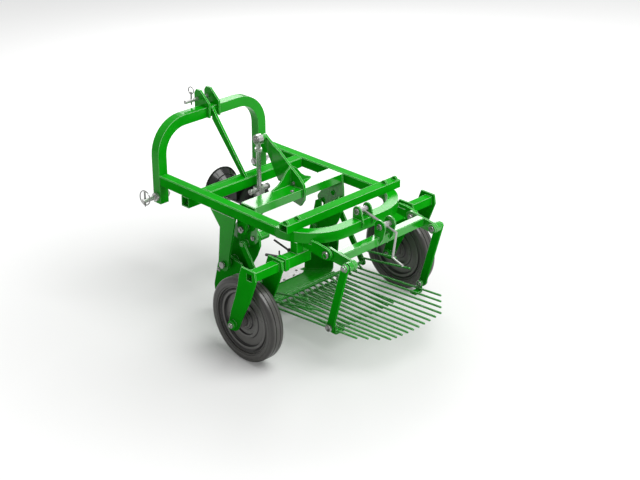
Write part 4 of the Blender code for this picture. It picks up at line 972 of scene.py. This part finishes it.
def dress_rod():
    """The rod's ball eye and its nut, the caps of the clamp tube at its foot, the crank's hub nut."""
    eye_nut = nut_on_stud(0.0125, 0.0085, 0.0070, 0.0035)
    eye_plate = round_head(0.0180, 0.0040)
    tube_cap = round_head(0.0145, 0.0090)
    hub_nut = nut_on_stud(0.0200, 0.0090, 0.0100, 0.0030)
    copy_piece(eye_nut, "rod_eye_nut", beside(ROD_EYE, -0.0345), LEFT, STEEL, "rocker")
    copy_piece(eye_plate, "rod_eye_plate_left", beside(ROD_EYE, -0.0342), LEFT, STEEL, "connecting_rod")
    copy_piece(tube_cap, "cross_tube_cap_left", beside(ROD_FOOT, -0.0700), LEFT, STEEL, "connecting_rod")
    copy_piece(tube_cap, "cross_tube_cap_right", beside(ROD_FOOT, 0.0300), RIGHT, STEEL, "connecting_rod")
    copy_piece(hub_nut, "crank_hub_nut", beside(on_shaft(0.3200), 0.0300), BACK, CASTING, "drive_shaft")
    put_away(eye_nut, eye_plate, tube_cap, hub_nut)


WELD_RADIUS = 0.0026
WELD_SINK = 0.0010


def dress_welds():
    """Weld runs under the beams, along the legs, posts and brackets and under the bow's ends."""
    # name, length, how far inside the side beam's outer face, rear end
    runs = (
        ("leg_weld_", 0.156, 0.0, 0.0900),
        ("post_weld_", 0.038, 0.024, -0.2840),
        ("bracket_weld_", 0.056, 0.030, 0.0480),
        ("bow_weld_", 0.090, 0.067, -0.3800),
    )
    for label, length, inside, rear in runs:
        bead = weld_bead(length, WELD_RADIUS)
        place = (BEAM_HIGH.x - inside, rear, BEAM_LOW.z - WELD_SINK)
        copy_to_both_sides(ENAMEL, ((bead, label, place, FORWARD, "frame"),))
        put_away(bead)


dress_wheels()
dress_pivots()
dress_wheel_mounts()
dress_hitch()
dress_guard()
dress_rod()
dress_welds()


# Floor, light and camera

# Painted shadow on the floor round the machine: darker tones and a weaker glow near the middle, fading out to
# the far tone and glow between the two distances
FLOOR_SHADOW_REACH = 0.6
FLOOR_FAR = 2.5
FLOOR_SHADOW_TONES = ((0.650, 0.654, 0.646), (0.680, 0.684, 0.676))
FLOOR_FAR_TONE = (0.900, 0.905, 0.900)
FLOOR_GLOW_IN_SHADOW = 0.13
FLOOR_GLOW_FAR = 0.24
ROOM_LIGHT = 0.35
ROOM_IN_GLOSS = 0.25
PHOTO_LENS = 78.75
PHOTO_SENSOR = 36.0
PHOTO_PLACE = (-4.0815, -4.190, 3.158)
PHOTO_ELEVATION = 25.6
PHOTO_AZIMUTH = -45.0


def pale_floor():
    """A pale matt floor with a painted shadow round the machine: darker near the middle and lighter far out,
    with a little glow that only the camera sees, weaker near the middle.
    """
    material, tree, shader = new_material("pale_floor")
    place = object_place(tree)
    reach = tree.nodes.new("ShaderNodeVectorMath")
    reach.operation = "LENGTH"
    tree.links.new(place, reach.inputs[0])
    # Painted shadow: 0 near the machine, 1 far out
    away = spread(tree, reach.outputs["Value"], FLOOR_SHADOW_REACH, FLOOR_FAR)
    tone = mix_colour(tree, noise(tree, place, 1.5), *FLOOR_SHADOW_TONES)
    tone = mix_colour(tree, away, tone, FLOOR_FAR_TONE)
    tree.links.new(tone, shader.inputs["Base Color"])
    shader.inputs["Roughness"].default_value = 0.6
    shader.inputs["Specular IOR Level"].default_value = 0.2
    path = tree.nodes.new("ShaderNodeLightPath")
    glow = tree.nodes.new("ShaderNodeEmission")
    strength = between(tree, away, FLOOR_GLOW_IN_SHADOW, FLOOR_GLOW_FAR)
    seen = maths(tree, "MULTIPLY", path.outputs["Is Camera Ray"], strength)
    tree.links.new(seen, glow.inputs["Strength"])
    total = tree.nodes.new("ShaderNodeAddShader")
    tree.links.new(shader.outputs["BSDF"], total.inputs[0])
    tree.links.new(glow.outputs["Emission"], total.inputs[1])
    tree.links.new(total.outputs["Shader"], tree.nodes["Material Output"].inputs["Surface"])
    return material


def studio_floor():
    pick_none()
    bpy.ops.mesh.primitive_plane_add(size=60.0, location=(0.0, 0.0, 0.0))
    floor = bpy.context.object
    floor.name = "studio_floor"
    floor.data.materials.append(pale_floor())


def white_room():
    """A white world that lights softly, looks white to the camera and is half as bright in gloss."""
    world = bpy.data.worlds.new("white_room")
    world.use_nodes = True
    tree = world.node_tree
    sky = tree.nodes["Background"]
    sky.inputs["Color"].default_value = (1.0, 1.0, 1.0, 1.0)
    path = tree.nodes.new("ShaderNodeLightPath")
    mirrored_sky = maths(tree, "MULTIPLY", path.outputs["Is Glossy Ray"], ROOM_IN_GLOSS)
    seen = maths(tree, "MAXIMUM", path.outputs["Is Camera Ray"], mirrored_sky)
    seen = maths(tree, "MAXIMUM", seen, path.outputs["Is Transmission Ray"])
    tree.links.new(between(tree, seen, ROOM_LIGHT, 1.0), sky.inputs["Strength"])
    bpy.context.scene.world = world


def soft_lamp(name, place, target, size, power):
    """A round soft lamp, turned to its target."""
    lamp = bpy.data.lights.new(name, "AREA")
    lamp.shape = "DISK"
    lamp.size = size
    lamp.energy = power
    holder = bpy.data.objects.new(name, lamp)
    bpy.context.scene.collection.objects.link(holder)
    holder.location = place
    aim = Vector(target) - Vector(place)
    holder.rotation_euler = aim.to_track_quat("-Z", "Y").to_euler()


def photo_camera():
    """The photograph's view, from behind on the left."""
    lens = bpy.data.cameras.new("photo_camera")
    lens.lens = PHOTO_LENS
    lens.sensor_width = PHOTO_SENSOR
    lens.sensor_fit = "HORIZONTAL"
    camera = bpy.data.objects.new("photo_camera", lens)
    bpy.context.scene.collection.objects.link(camera)
    camera.location = PHOTO_PLACE
    camera.rotation_euler = (math.radians(90.0 - PHOTO_ELEVATION), 0.0, math.radians(PHOTO_AZIMUTH))
    bpy.context.scene.camera = camera


studio_floor()
white_room()
soft_lamp("key_lamp", place=(1.3, -3.2, 6.8), target=(0.0, -0.1, 0.3), size=6.2, power=545.0)
soft_lamp("window_lamp", place=(2.9, 2.75, 2.7), target=(0.0, -0.2, 0.6), size=2.4, power=70.0)
photo_camera()
bpy.context.scene.view_settings.view_transform = "Standard"
